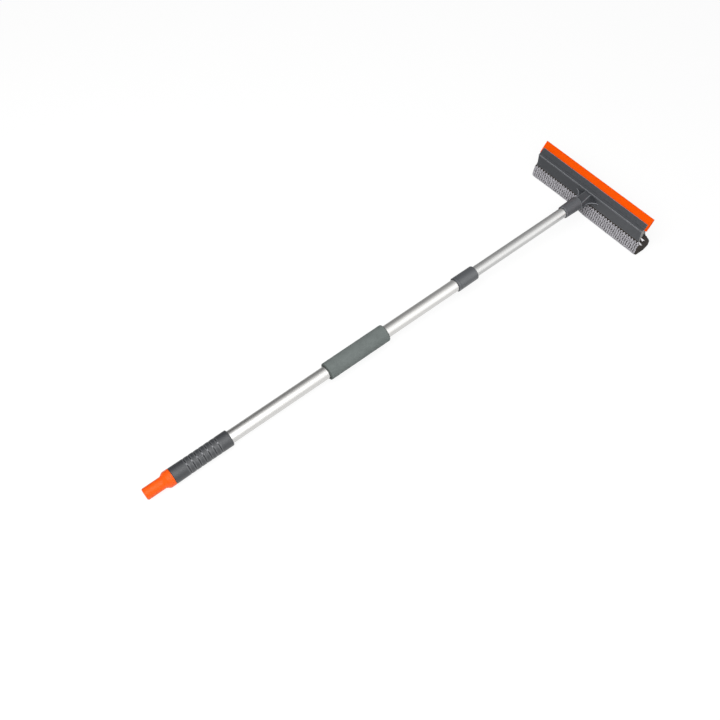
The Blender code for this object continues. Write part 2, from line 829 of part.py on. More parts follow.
def lay_on_floor(root):
    """Tilts the tool to its resting angle and puts the middle of its footprint at the origin."""
    root.rotation_euler.y = -resting_tilt()
    bpy.context.view_layer.update()
    graph = bpy.context.evaluated_depsgraph_get()
    low = np.full(3, np.inf)
    high = np.full(3, -np.inf)
    for obj in bpy.context.scene.objects:
        if obj.type != "MESH" or obj.hide_render:
            continue
        made = obj.evaluated_get(graph)
        mesh = made.to_mesh()
        points = np.empty(len(mesh.vertices) * 3)
        mesh.vertices.foreach_get("co", points)
        world = np.array(made.matrix_world)
        points = points.reshape(-1, 3) @ world[:3, :3].T + world[:3, 3]
        low = np.minimum(low, points.min(axis=0))
        high = np.maximum(high, points.max(axis=0))
        made.to_mesh_clear()
    root.location = (-(low[0] + high[0]) / 2, -(low[1] + high[1]) / 2, -low[2])
    bpy.context.view_layer.update()


def build():
    clear_scene()
    orange_plastic = material("orange_plastic", (1.0, 0.155, 0.02), 0.42)
    grey_rubber = material("grey_rubber", (0.062, 0.064, 0.068), 0.55)
    tube_metal = material("tube_aluminium", (0.78, 0.78, 0.77), 0.32, 1.0)
    grey_foam = material("grey_foam", (0.205, 0.222, 0.219), 0.95)
    ferrule_plastic = material("ferrule_plastic", (0.105, 0.107, 0.113), 0.45)
    lock_plastic = material("lock_plastic", (0.72, 0.71, 0.68), 0.4)
    head_plastic = material("head_plastic", (0.088, 0.090, 0.098), 0.42)
    orange_rubber = material("orange_rubber", (1.0, 0.11, 0.005), 0.5)
    carrier_plastic = material("carrier_plastic", (0.03, 0.03, 0.032), 0.6)
    sponge_foam = material("sponge_foam", (0.055, 0.048, 0.046), 0.95)
    net_yarn = material("net_yarn", (0.27, 0.27, 0.29), 0.7)

    tool = empty("pole_axis")
    slider = empty("telescope_slide", tool)
    carrier = empty("cone_slide", slider)
    turner = empty("lock_twist", slider)

    end_cap(tool, orange_plastic)
    ribbed_grip(tool, grey_rubber)
    lower_tube(tool, tube_metal)
    foam_sleeve(tool, grey_foam)
    tube_ferrule(tool, ferrule_plastic)
    lock_sleeve(slider, lock_plastic)
    lock_cone(carrier, lock_plastic)
    lock_stud(turner, lock_plastic)
    upper_tube(turner, tube_metal)
    head_body(turner, head_plastic)
    rubber_blade(turner, orange_rubber)
    sponge_carrier(turner, carrier_plastic)
    sponge(turner, sponge_foam)
    net_cover(turner, net_yarn)
    lay_on_floor(tool)


build()
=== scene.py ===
import json
import math

import bmesh
import bpy
import numpy as np
from mathutils import Euler, Matrix


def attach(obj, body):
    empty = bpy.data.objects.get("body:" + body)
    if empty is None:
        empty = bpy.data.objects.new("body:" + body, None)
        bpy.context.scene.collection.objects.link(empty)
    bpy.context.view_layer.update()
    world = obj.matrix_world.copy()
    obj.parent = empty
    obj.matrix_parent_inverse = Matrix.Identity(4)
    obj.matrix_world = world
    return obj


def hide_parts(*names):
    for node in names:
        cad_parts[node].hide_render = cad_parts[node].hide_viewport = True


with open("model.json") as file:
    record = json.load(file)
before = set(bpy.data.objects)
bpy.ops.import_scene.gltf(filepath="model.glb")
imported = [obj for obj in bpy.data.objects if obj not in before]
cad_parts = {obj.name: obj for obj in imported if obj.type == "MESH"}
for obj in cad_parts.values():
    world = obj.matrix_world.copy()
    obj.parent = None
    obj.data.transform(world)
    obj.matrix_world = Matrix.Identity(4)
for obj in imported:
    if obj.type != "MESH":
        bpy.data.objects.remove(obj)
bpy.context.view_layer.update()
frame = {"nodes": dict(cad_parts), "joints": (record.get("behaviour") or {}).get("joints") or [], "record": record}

print("frame loaded:", len(frame["nodes"]), "solids")

# The pole has its own frame, in millimetres: x runs from the butt to the head, y is across, z is the tool's
# upper side. Every shape is worked out there, and is set down in the world, in metres, when its mesh is made.
mm = 0.001
poleAxis = np.array(next(j for j in frame["joints"] if j["name"] == "telescope")["axis"], float)
poleAxis /= np.linalg.norm(poleAxis)
poleStart = np.array(next(m for m in frame["record"]["mounts"] if m["name"] == "butt_face")["pos_m"], float)
poleFrame = np.stack([poleAxis, np.array([0.0, 1.0, 0.0]), np.cross(poleAxis, [0.0, 1.0, 0.0])])
poleTilt = math.atan2(poleAxis[2], poleAxis[0])
quarterTurn, fullTurn = math.pi / 2, 2 * math.pi
guard = 0.4  # distance of the point beside an arc that keeps an edge's wear off the flat


def toWorld(points):
    return poleStart + points * mm @ poleFrame


def toPole(points):
    return (points - poleStart) @ poleFrame.T / mm


def readArray(items, key, width=1, kind=np.float32):
    # a mesh's values as one array, with a row of width numbers for each item
    values = np.empty(len(items) * width, kind)
    items.foreach_get(key, values)
    return values.reshape(-1, width) if width > 1 else values


def writeValue(mesh, name, value):
    # one number for each vertex, which the piece's material reads
    layer = mesh.attributes.get(name) or mesh.attributes.new(name, "FLOAT", "POINT")
    layer.data.foreach_set("value", np.asarray(value, np.float32).ravel())


def nodeSpan(name):
    # lowest and highest corner of a CAD node, in the pole's frame
    points = toPole(readArray(frame["nodes"][name].data.vertices, "co", 3))
    return points.min(axis=0), points.max(axis=0)


def unit(vectors):
    return vectors / np.maximum(np.linalg.norm(vectors, axis=-1, keepdims=True), 1e-12)


def xyz(x, y, z):
    return np.stack(np.broadcast_arrays(x, y, z), axis=-1)


def runAlong(points):
    # length along each line of points, 0 at its start
    steps = np.linalg.norm(np.diff(points, axis=-2), axis=-1)
    return np.concatenate([np.zeros_like(steps[..., :1]), np.cumsum(steps, axis=-1)], axis=-1)


def roundedOutline(corners, radii, steps=5):
    # Each corner of a closed outline becomes an arc: the centre lies on the corner's bisector at radius /
    # sin(half angle), and the arc turns from one tangent point to the other. With the guard point beside each
    # end of the arc, a corner takes steps + 3 points. Where an edge is short, an arc takes at most its share
    # of it, and a guard point its share of what is left.
    arcShare, guardShare = 0.48, 0.4
    corners = np.asarray(corners, float)
    radii = np.broadcast_to(np.asarray(radii, float), len(corners))
    before = np.roll(corners, 1, axis=0) - corners
    after = np.roll(corners, -1, axis=0) - corners
    length = np.linalg.norm(after, axis=1)
    room = arcShare * np.minimum(np.roll(length, 1), length)
    before, after = unit(before), unit(after)
    half = np.arccos(np.clip((before * after).sum(axis=1), -1, 1)) / 2
    reach = np.minimum(radii / np.tan(half), room)
    centre = corners + unit(before + after) * (reach * np.tan(half) / np.sin(half))[:, None]
    start = corners + before * reach[:, None] - centre
    end = corners + after * reach[:, None] - centre
    sweep = np.arctan2(start[:, 0] * end[:, 1] - start[:, 1] * end[:, 0], (start * end).sum(axis=1))
    turn = sweep[:, None] * np.linspace(0, 1, steps + 1)
    x = centre[:, :1] + start[:, :1] * np.cos(turn) - start[:, 1:] * np.sin(turn)
    z = centre[:, 1:] + start[:, :1] * np.sin(turn) + start[:, 1:] * np.cos(turn)
    beside = np.minimum(guard, guardShare * (length - reach - np.roll(reach, -1)))[:, None]
    into = centre + start + before * np.roll(beside, 1, axis=0)
    away = centre + end + after * beside
    return np.concatenate([into[:, None], np.stack([x, z], axis=-1), away[:, None]], axis=1).reshape(-1, 2)


def shrunk(outline, inset):
    # every point moved inwards along its normal, the outline being closed
    tangent = unit(np.roll(outline, -1, axis=0) - np.roll(outline, 1, axis=0))
    normal = np.column_stack([-tangent[:, 1], tangent[:, 0]])
    area = (outline[:, 0] * np.roll(outline[:, 1], -1) - outline[:, 1] * np.roll(outline[:, 0], -1)).sum()
    return outline + normal * inset * np.sign(area)


def gridFaces(rows, columns, closedRows=False):
    # quads between neighbouring rows, the columns running round
    i = np.arange(rows if closedRows else rows - 1)[:, None]
    j = np.arange(columns)
    near, far, after = i * columns, (i + 1) % rows * columns, (j + 1) % columns
    return np.stack([near + j, near + after, far + after, far + j], axis=-1).reshape(-1, 4)


def capped(grid):
    # rings joined to a tube, with the first and the last ring filled
    rows, columns = grid.shape[:2]
    return grid, [gridFaces(rows, columns), np.arange(columns) + [[0], [(rows - 1) * columns]]]


def aroundPole(x, r, angle):
    # y = r sin a, z = r cos a
    return xyz(x, r * np.sin(angle), r * np.cos(angle))


def turnedPart(profile, segments=96, closed=True):
    # a profile of (x, r) turned about the pole's axis
    profile = np.asarray(profile, float)
    angle = np.linspace(0, fullTurn, segments, endpoint=False)
    return aroundPole(profile[:, :1], profile[:, 1:], angle), [gridFaces(len(profile), segments, closed)]


def sleeve(x, radius, angle, bore):
    # a skin with its own radius at each x and angle, closed by a plain bore
    grid = np.concatenate([aroundPole(x[:, None], radius, angle), aroundPole(x[[-1, 0], None], bore, angle)])
    return grid, [gridFaces(len(grid), len(angle), True)]


def drawnPart(outline, halfLength, edge, middle=12):
    # an outline of (x, z) carried along y; at both ends it shrinks by edge * (1 - cos a) while y moves by
    # edge * sin a
    turn = np.linspace(0, quarterTurn, 4)
    inset = edge * (1 - np.cos(turn))
    y = halfLength - edge + edge * np.sin(turn)
    flat = halfLength - edge - guard
    y = np.concatenate([-y[::-1], np.linspace(-flat, flat, middle), y])
    inset = np.concatenate([inset[::-1], np.zeros(middle), inset])
    rows = outline + (shrunk(outline, 1.0) - outline) * inset[:, None, None]
    return capped(xyz(rows[..., 0], y[:, None], rows[..., 1]))


def edgeWearAndLight(mesh, fullBend=0.35):
    # Two values from 0 on a flat to 1 at an edge, from the largest angle between two faces that share an edge
    #     there: one where the edge stands out, which the materials colour as edge wear and painted light, and
    #         hollow
    #     where it lies in a corner, which they darken as painted shade. Both reach 1 at fullBend, in radians.
    edges = readArray(mesh.edges, "vertices", 2, np.int32)
    normals, centres = (readArray(mesh.polygons, key, 3) for key in ("normal", "center"))
    totals = readArray(mesh.polygons, "loop_total", 1, np.int32)
    loops = readArray(mesh.loops, "edge_index", 1, np.int32)
    face = np.repeat(np.arange(len(totals)), totals)
    order = np.argsort(loops, kind="stable")
    pairs = np.flatnonzero(loops[order][:-1] == loops[order][1:])
    one, two, edge = face[order][pairs], face[order][pairs + 1], loops[order][pairs]
    bend = np.clip(np.arccos(np.clip((normals[one] * normals[two]).sum(axis=1), -1, 1)) / fullBend, 0, 1)
    outwards = ((centres[two] - centres[one]) * normals[one]).sum(axis=1) < 0
    for name, wanted in (("edgeWearAndLight", outwards), ("hollow", ~outwards)):
        value = np.zeros(len(mesh.vertices), np.float32)
        for end in (0, 1):
            np.maximum.at(value, edges[edge, end], (bend * wanted).astype(np.float32))
        writeValue(mesh, name, value)


def linked(name, data):
    made = bpy.data.objects.new(name, data)
    bpy.context.scene.collection.objects.link(made)
    return made


def placed(name, parts, body, material, merged=None):
    # Parts are (points, blocks) pairs, a block being an array with a face in each row. Points closer than
    # merged, in millimetres, become one.
    faces, start = [], 0
    for points, blocks in parts:
        for block in blocks:
            faces += (block + start).tolist()
        start += points.size // 3
    mesh = bpy.data.meshes.new(name)
    mesh.from_pydata(toWorld(np.concatenate([p.reshape(-1, 3) for p, _ in parts])).tolist(), [], faces)
    form = bmesh.new()
    form.from_mesh(mesh)
    if merged:
        bmesh.ops.remove_doubles(form, verts=form.verts, dist=merged * mm)
    bmesh.ops.recalc_face_normals(form, faces=form.faces)
    if form.calc_volume(signed=True) < 0:
        bmesh.ops.reverse_faces(form, faces=form.faces)
    form.to_mesh(mesh)
    form.free()
    mesh.shade_smooth()
    mesh.materials.append(material)
    made = linked(name, mesh)
    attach(made, body)
    return made


def piece(name, parts, body, replaces, material, sharp=40, weighted=True):
    # a rigid or foam piece: doubles merged, edges over the sharp angle kept, and the edge wear with its painted
    # light worked out
    made = placed(name, parts, body, material, 0.002)
    made.data.set_sharp_from_angle(angle=math.radians(sharp))
    edgeWearAndLight(made.data)
    if weighted:
        made.modifiers.new("weightedNormals", "WEIGHTED_NORMAL").keep_sharp = True
    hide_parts(replaces)
    return made


def linear(code):
    # sRGB hex to linear
    value = np.array([int(code[i:i + 2], 16) for i in (1, 3, 5)]) / 255
    value = np.where(value <= 0.04045, value / 12.92, ((value + 0.055) / 1.055) ** 2.4)
    return (*value.tolist(), 1.0)


def colourStops(places, codes):
    return [(place, linear(code)) for place, code in zip(places, codes)]


def addNode(tree, kind, inputs=(), wanted=0, stops=(), **settings):
    # An input, by place or by name, is a value or an output to link. Stops are a ramp's (place, colour)
    # pairs. It gives the wanted output, or all of them where wanted is None.
    node = tree.nodes.new("ShaderNode" + kind)
    for key, value in settings.items():
        setattr(node, key, value)
    for key, value in inputs.items() if isinstance(inputs, dict) else enumerate(inputs):
        if isinstance(value, bpy.types.NodeSocket):
            tree.links.new(value, node.inputs[key])
        else:
            node.inputs[key].default_value = value
    for _ in stops[2:]:
        node.color_ramp.elements.new(0.5)
    for index, (place, colour) in enumerate(stops):
        node.color_ramp.elements[index].position = place
        node.color_ramp.elements[index].color = colour
    return node.outputs if wanted is None else node.outputs[wanted]


def newMaterial(name):
    made = bpy.data.materials.new(name)
    made.use_nodes = True
    made.node_tree.nodes.clear()
    return made, made.node_tree


def polePattern(tree):
    # object coordinates turned to run with the pole, which rises a little towards the head
    place = addNode(tree, "TexCoord", (), "Object")
    return addNode(tree, "Mapping", {"Vector": place, "Rotation": (0, poleTilt, 0)})


def stretched(tree, value, stops):
    # straight lines between (place, level) stops: the first range plus a clamped rise for each later one
    (start, low), (end, high) = stops[:2]
    total = addNode(tree, "MapRange", (value, start, end, low, high))
    for (start, low), (end, high) in zip(stops[1:], stops[2:]):
        rise = addNode(tree, "MapRange", (value, start, end, 0.0, high - low))
        total = addNode(tree, "Math", (total, rise), operation="ADD")
    return total


# Every size in the looks is a real one in millimetres. A plastic names what differs from the common moulding.
# the hollows of every moulding are darkened by painted shade, at the strength and colour a plastic gives
moulding = {"ior": 1.49, "specular": 0.5, "gloss": "#ffffff", "hollowShade": 0.5, "hollowShadeColour": "#17181a",
            "sawnColour": "#9a9894", "scuffSize": 1.2, "grainSize": 0.5}


def mouldedPlastic(name, look):
    # Injection moulding: a fine spark-eroded grain, faint flow clouds in the colour, edges coloured by wear and
    #     painted highlight, painted shade in the hollows and pale sawn ends.
    look = {**moulding, **look}
    made, tree = newMaterial(name)
    pattern = polePattern(tree)
    cloud, scuffs, grain = (
        addNode(tree, "TexNoise", {"Vector": pattern, "Scale": 1 / (look[size] * mm), "Detail": detail,
                                   "Roughness": rough})
        for size, detail, rough in (("cloudSize", 2, 0.55), ("scuffSize", 5, 0.7), ("grainSize", 2, 0.55)))
    edge, hollow, sawn = (addNode(tree, "Attribute", (), "Fac", attribute_name=value)
                          for value in ("edgeWearAndLight", "hollow", "sawn"))
    # the edge colour on standing edges is part wear and part painted highlight
    patches = addNode(tree, "MapRange", (scuffs, 0.35, 0.65, 0.3 * look["wearAndLight"], look["wearAndLight"]))
    rubAndLight = addNode(tree, "Math", (edge, patches), operation="MULTIPLY")
    # painted shade: hollows and corners darkened towards the shade colour
    hollowShade = addNode(tree, "MapRange", (hollow, 0.0, 1.0, 0.0, look["hollowShade"]))
    colour = addNode(tree, "ValToRGB", (cloud,), stops=colourStops((0.3, 0.7), look["colours"]))
    for share, code in ((rubAndLight, "edgeWearAndLightColour"), (hollowShade, "hollowShadeColour"), (sawn, "sawnColour")):
        colour = addNode(tree, "Mix", {0: share, 6: colour, 7: linear(look[code])}, 2, data_type="RGBA")
    shader = addNode(tree, "BsdfPrincipled", {
        "Base Color": colour, "Roughness": addNode(tree, "MapRange", (scuffs, 0.2, 0.8, *look["roughness"])),
        "Normal": addNode(tree, "Bump", {"Height": grain, "Distance": look["grainHeight"] * mm,
                                         "Strength": 1.0}),
        "IOR": look["ior"], "Specular IOR Level": look["specular"], "Specular Tint": linear(look["gloss"])})
    addNode(tree, "OutputMaterial", (shader,), None)
    return made


# Polypropylene, moulded glossy: an even bright orange with a soft highlight; edges lighter by wear and painted
# highlight, hollows darker by painted shade
orangePlastic = mouldedPlastic("orangePolypropyleneMoulded", {
    "colours": ("#ff5a00", "#ff5e00"), "edgeWearAndLightColour": "#ff7a30", "wearAndLight": 0.2, "hollowShade": 0.3,
    "hollowShadeColour": "#b93a00",
    "specular": 0.45, "gloss": "#ffe8d4", "roughness": (0.32, 0.35), "cloudSize": 22, "grainHeight": 0.003})
# Thermoplastic rubber over the grip: satin, with painted highlight and wear on its beads and edges and painted
# shade in its grooves
gripRubber = mouldedPlastic("gripThermoplasticRubber", {
    "colours": ("#393b3e", "#3c3e41"), "edgeWearAndLightColour": "#c4c5c9", "wearAndLight": 1.0, "hollowShade": 0.7,
    "hollowShadeColour": "#1b1c1e",
    "roughness": (0.29, 0.32), "ior": 1.5, "specular": 0.75, "cloudSize": 14, "grainSize": 0.45,
    "grainHeight": 0.005})
# Polypropylene ferrule, smooth with a long soft highlight; edges lighter by wear and painted highlight, hollows
# darker by painted shade
ferrulePlastic = mouldedPlastic("ferrulePolypropyleneMoulded", {
    "colours": ("#484b4f", "#4b4e52"), "edgeWearAndLightColour": "#7d7f83", "wearAndLight": 0.4, "specular": 1.0,
    "roughness": (0.22, 0.25), "cloudSize": 16, "grainSize": 0.4, "grainHeight": 0.002})
# Polypropylene head, moulded in one: satin, faintly blue grey, with painted highlight and wear on its edges and
# painted shade in its hollows
headPlastic = mouldedPlastic("headPolypropyleneMoulded", {
    "colours": ("#424448", "#44464a"), "edgeWearAndLightColour": "#b4b6bc", "wearAndLight": 0.9, "hollowShade": 0.9,
    "roughness": (0.43, 0.46), "cloudSize": 30, "grainHeight": 0.004})
# Nylon of the lock inside the tubes, natural white
lockNylon = mouldedPlastic("lockNylonMoulded", {
    "colours": ("#cfcbc2", "#dad7cf"), "edgeWearAndLightColour": "#e8e5de", "wearAndLight": 0.3, "roughness": (0.35, 0.45),
    "ior": 1.53, "cloudSize": 8, "scuffSize": 1.5, "grainSize": 0.3, "grainHeight": 0.003})
# Polystyrene strip behind the sponge, black and dull, with edges lighter by wear and painted highlight and hollows
# darker by painted shade
carrierPlastic = mouldedPlastic("carrierPolystyreneMoulded", {
    "colours": ("#17171a", "#1d1d20"), "edgeWearAndLightColour": "#3c3c40", "wearAndLight": 0.3, "roughness": (0.5, 0.62),
    "ior": 1.55, "cloudSize": 20, "scuffSize": 3.0, "grainHeight": 0.006})
# Silicone rubber of the blade: dense orange and dull, its edges painted a deeper red and its hollows darkened by
# painted shade
bladeRubber = mouldedPlastic("bladeSiliconeRubber", {
    "colours": ("#ff5706", "#ff5b0b"), "edgeWearAndLightColour": "#ff4300", "wearAndLight": 0.6, "hollowShade": 0.3,
    "hollowShadeColour": "#b93000",
    "specular": 0.05, "gloss": "#ff8c50", "roughness": (0.52, 0.58), "ior": 1.41, "cloudSize": 26,
    "scuffSize": 1.5, "grainSize": 0.6, "grainHeight": 0.003})


def drawnAluminium(name, look):
    # Tube drawn through a die and anodised clear: hair lines that run along it, and a faint mottling of the
    # oxide.
    made, tree = newMaterial(name)
    pattern = polePattern(tree)
    along = addNode(tree, "Mapping", {"Vector": pattern, "Scale": (0.02, 1, 1)})
    lines, mottle = (
        addNode(tree, "TexNoise", {"Vector": place, "Scale": 1 / (look[size] * mm), "Detail": detail,
                                   "Roughness": rough})
        for place, size, detail, rough in ((along, "lineWidth", 3, 0.6), (pattern, "mottleSize", 4, 0.55)))
    colour = addNode(tree, "ValToRGB", (lines,), stops=colourStops((0.25, 0.75), look["colours"]))
    oxide = addNode(tree, "MapRange", (mottle, 0.35, 0.7, 0.0, 0.25))
    colour = addNode(tree, "Mix", {0: oxide, 6: colour, 7: linear(look["oxideColour"])}, 2, data_type="RGBA")
    shader = addNode(tree, "BsdfPrincipled", {
        "Base Color": colour, "Metallic": 1.0,
        "Roughness": addNode(tree, "MapRange", (lines, 0.3, 0.7, *look["roughness"])),
        "Normal": addNode(tree, "Bump", {"Height": lines, "Distance": look["lineDepth"] * mm,
                                         "Strength": 1.0})})
    addNode(tree, "OutputMaterial", (shader,), None)
    return made


# lines finer than the render shows are drawn 0.5 mm apart
brightAluminium = drawnAluminium("tubeAluminiumBrightDrawn", {
    "colours": ("#dad9d7", "#dfdedc"), "oxideColour": "#d4d3d0", "roughness": (0.24, 0.27),
    "lineWidth": 0.5, "lineDepth": 0.0002, "mottleSize": 6})
satinAluminium = drawnAluminium("tubeAluminiumSatinAnodised", {
    "colours": ("#cacac9", "#cfcfce"), "oxideColour": "#c4c4c3", "roughness": (0.33, 0.37),
    "lineWidth": 0.5, "lineDepth": 0.0003, "mottleSize": 5})


def cellFoam(name, look):
    # Open or closed cell foam: small cells with dark mouths, light walls between them, and no gloss. Its cut
    #     ends are darkened by painted shade.
    made, tree = newMaterial(name)
    pattern = polePattern(tree)
    cells = addNode(tree, "TexVoronoi", {"Vector": pattern, "Scale": 1 / (look["cellSize"] * mm)})
    cloud, specks = (
        addNode(tree, "TexNoise", {"Vector": pattern, "Scale": 1 / (look[size] * mm), "Detail": detail,
                                   "Roughness": rough})
        for size, detail, rough in (("cloudSize", 4, 0.55), ("speckSize", 2, 0.7)))
    cut = addNode(tree, "Attribute", (), "Fac", attribute_name="cutEnd")
    colour = addNode(tree, "ValToRGB", (cloud,), stops=colourStops((0.3, 0.7), look["colours"]))
    for value, start, end, low, high, code in (
            (specks, 0.45, 0.75, 0.0, look["specks"], "speckColour"),
            (cells, 0.0, 0.35, look["mouths"], 0.0, "mouthColour"),
            (cut, 0.0, 1.0, 0.0, look["cutShade"], "mouthColour")):
        share = addNode(tree, "MapRange", (value, start, end, low, high))
        colour = addNode(tree, "Mix", {0: share, 6: colour, 7: linear(look[code])}, 2, data_type="RGBA")
    depth = look["cellDepth"] * mm
    pits = addNode(tree, "Bump", {"Height": cells, "Distance": depth, "Strength": 0.8})
    shader = addNode(tree, "BsdfPrincipled", {
        "Base Color": colour, "Roughness": addNode(tree, "MapRange", (cells, 0.0, 0.6, 1.0, 0.88)),
        "Normal": addNode(tree, "Bump", {"Height": specks, "Distance": 0.6 * depth, "Strength": 0.6,
                                         "Normal": pits}),
        "IOR": 1.45, "Specular IOR Level": look["specular"]})
    addNode(tree, "OutputMaterial", (shader,), None)
    return made


# NBR rubber foam of the handle, closed cells of a third of a millimetre, drawn at 0.9 mm so that they show
# its cut ends are darkened by painted shade
handleFoam = cellFoam("handleRubberFoam", {
    "colours": ("#6c7371", "#757c7a"), "speckColour": "#8a918f", "specks": 0.5, "mouthColour": "#474d4b",
    "mouths": 0.4, "cellSize": 0.9, "cellDepth": 0.1, "cloudSize": 12, "speckSize": 1.3, "specular": 0.25,
    "cutShade": 0.75})
# Polyether foam of the pad, open cells of about a millimetre
padFoam = cellFoam("padPolyetherFoam", {
    "colours": ("#312d2b", "#403b38"), "speckColour": "#6a655f", "specks": 0.55, "mouthColour": "#0d0c0b",
    "mouths": 0.8, "cellSize": 1.1, "cellDepth": 0.3, "cloudSize": 9, "speckSize": 0.9, "specular": 0.2,
    "cutShade": 0.0})


def knittedYarn(name, look):
    # Knitted polyester: a twisted bundle of filaments, lighter where they lie on top, with a soft sheen.
    made, tree = newMaterial(name)
    place = addNode(tree, "UVMap", uv_map="yarn")
    twist = addNode(tree, "Mapping", {"Vector": place, "Rotation": (0, 0, math.radians(28))})
    strands = addNode(tree, "TexWave", {"Vector": twist, "Scale": look["strands"], "Distortion": 0.6,
                                        "Detail": 1.0}, "Fac")
    cloud = addNode(tree, "TexNoise", {"Vector": polePattern(tree), "Scale": 1 / (look["cloudSize"] * mm),
                                       "Detail": 3, "Roughness": 0.55})
    colour = addNode(tree, "ValToRGB", (strands,), stops=colourStops((0.1, 0.8), look["colours"]))
    dust = addNode(tree, "MapRange", (cloud, 0.35, 0.7, 0.0, 0.35))
    colour = addNode(tree, "Mix", {0: dust, 6: colour, 7: linear(look["dustColour"])}, 2, data_type="RGBA")
    shader = addNode(tree, "BsdfPrincipled", {
        "Base Color": colour, "Roughness": addNode(tree, "MapRange", (strands, 0.0, 1.0, 0.8, 0.62)),
        "Normal": addNode(tree, "Bump", {"Height": strands, "Distance": 0.05 * mm, "Strength": 0.7}),
        "Sheen Weight": look["sheen"], "Sheen Roughness": 0.4, "IOR": 1.55, "Specular IOR Level": 0.4})
    addNode(tree, "OutputMaterial", (shader,), None)
    return made


# Polyester yarn of the net, three strands to a turn, greyed by use; the hem's yarn is clean
netYarn = knittedYarn("netPolyesterYarn", {
    "colours": ("#a4a2a8", "#d4d2d8"), "dustColour": "#b6b4b9", "strands": 3.0, "cloudSize": 5,
    "sheen": 0.25})
hemYarn = knittedYarn("hemPolyesterYarn", {
    "colours": ("#e8e7ea", "#fbfafc"), "dustColour": "#efeef1", "strands": 3.0, "cloudSize": 6, "sheen": 0.3})
print("materials made")

# The cap: a rounded end, a straight neck, an S-curved flare and a collar that meets the grip
cap = {"neckLength": 31.5, "flareLength": 9.2, "endRounding": 2.6, "edge": 0.5, "collarLength": 8.7,
       "neckRadius": 10.25, "collarRadius": 14.35, "seat": 11.3, "stem": 9.9, "stemBore": 7.9,
       "stemChamfer": 1.2, "endWall": 4.0, "endRing": 0.5}


def endCap():
    # a profile of arcs and straights turned about the pole; the flare's radius follows half a cosine wave
    end = nodeSpan("end_cap")[1][0]
    neckEnd, neck, collar = cap["neckLength"], cap["neckRadius"], cap["collarRadius"]
    rounding, edge, stem, chamfer = cap["endRounding"], cap["edge"], cap["stem"], cap["stemChamfer"]
    step = neckEnd + cap["flareLength"]
    meet = step + cap["collarLength"]
    turn = np.linspace(0, quarterTurn, 9)
    nose = np.column_stack([rounding * (1 - np.cos(turn)), neck - rounding * (1 - np.sin(turn))])
    straight = np.linspace(rounding, neckEnd, 40)[1:]
    share = np.linspace(0, 1, 25)[1:]
    flare = np.column_stack([neckEnd + cap["flareLength"] * share,
                             neck + (collar - neck) * (1 - np.cos(math.pi * share)) / 2])
    rim = np.column_stack([meet - edge + edge * np.sin(turn), collar - edge + edge * np.cos(turn)])
    inside = [(meet, cap["seat"]), (step, cap["seat"]), (step, stem), (end - chamfer, stem),
              (end, stem - chamfer),
              (end, cap["stemBore"]), (cap["endWall"], cap["stemBore"]), (cap["endWall"], 0)]
    profile = np.concatenate([[(0, 0), (0, nose[0, 1] - cap["endRing"])], nose,
                              np.column_stack([straight, np.full_like(straight, neck)]), flare, rim, inside])
    piece("capMoulding", [turnedPart(profile, closed=False)], "lower_pole", "end_cap",
          orangePlastic)


endCap()

# The grip: seven grooves round it, each broken on top by a bead, and a waist between a wide butt and the far
# edge
grip = {"buttRadius": 14.3, "waistRadius": 13.95, "topRadius": 14.1, "bore": 11.3, "firstGroove": 27.2,
        "pitch": 9.53, "grooves": 7, "grooveDepth": 0.8, "grooveHalfWidth": 0.85, "beadHeight": 1.0,
        "beadHalfLength": 1.3, "beadHalfWidth": 2.3, "beadAngle": -16, "rubAndLightAt": 1.7,
        "rubAndLightHalfWidth": 0.9, "rubAndLight": 0.2, "edge": 0.5, "topRounding": 2.2, "rings": 380, "segments": 180}


def ribbedGrip():
    # radius = waist curve - rounded ends - groove bells + bead bells; a bell is exp(-(distance / half
    # width)^2)
    low, high = nodeSpan("ribbed_grip")
    length = high[0] - low[0]
    edge, top, butt, waist = grip["edge"], grip["topRounding"], grip["buttRadius"], grip["waistRadius"]
    x = np.concatenate([edge * (1 - np.cos(np.linspace(0, quarterTurn, 5))),
                        np.linspace(edge, length - top, grip["rings"])[1:-1],
                        length - top * (1 - np.sin(np.linspace(0, quarterTurn, 9)))])
    angle = np.linspace(0, fullTurn, grip["segments"], endpoint=False)
    share = x / length
    radius = np.where(share < 0.5, butt + (waist - butt) * np.sin(math.pi * share),
                      waist + (grip["topRadius"] - waist) * (2 * share - 1))
    for depth, into in ((edge, (edge - x) / edge), (top - edge, (x - length + top) / top)):
        radius -= depth * (1 - np.sqrt(1 - into.clip(0, 1) ** 2))
    nearest = np.clip(np.round((x - grip["firstGroove"]) / grip["pitch"]), 0, grip["grooves"] - 1)
    off = x - grip["firstGroove"] - nearest * grip["pitch"]
    groove = grip["grooveDepth"] * np.exp(-2 * (off / grip["grooveHalfWidth"]) ** 2)
    bead = (grip["beadHeight"] + grip["grooveDepth"]) * np.exp(-(off / grip["beadHalfLength"]) ** 2)
    across = radius[:, None] * ((angle - math.radians(grip["beadAngle"]) + math.pi) % fullTurn - math.pi)
    beadAcross = np.exp(-(across / grip["beadHalfWidth"]) ** 2)
    skin = sleeve(low[0] + x, (radius - groove)[:, None] + bead[:, None] * beadAcross, angle, grip["bore"])
    made = piece("gripRibbed", [skin], "lower_pole", "ribbed_grip", gripRubber)
    # Painted shade darkens the grooves, and painted highlight with wear lightens the beads and a little the
    #     grooves' shoulders: hollow = groove bell * (1 - bead bell), wear and light = bead bell + a share of a
    #     bell round each shoulder.
    shoulder = grip["rubAndLight"] * np.exp(-2 * ((np.abs(off) - grip["rubAndLightAt"]) / grip["rubAndLightHalfWidth"]) ** 2)
    wornAndLit = beadAcross * np.exp(-2 * (off / grip["beadHalfLength"]) ** 2)[:, None] + shoulder[:, None]
    for name, value in (("hollow", groove[:, None] / grip["grooveDepth"] * (1 - beadAcross)), ("edgeWearAndLight", wornAndLit)):
        writeValue(made.data, name, np.concatenate([value, np.zeros((2, len(angle)))]))


ribbedGrip()
print("cap and grip made")

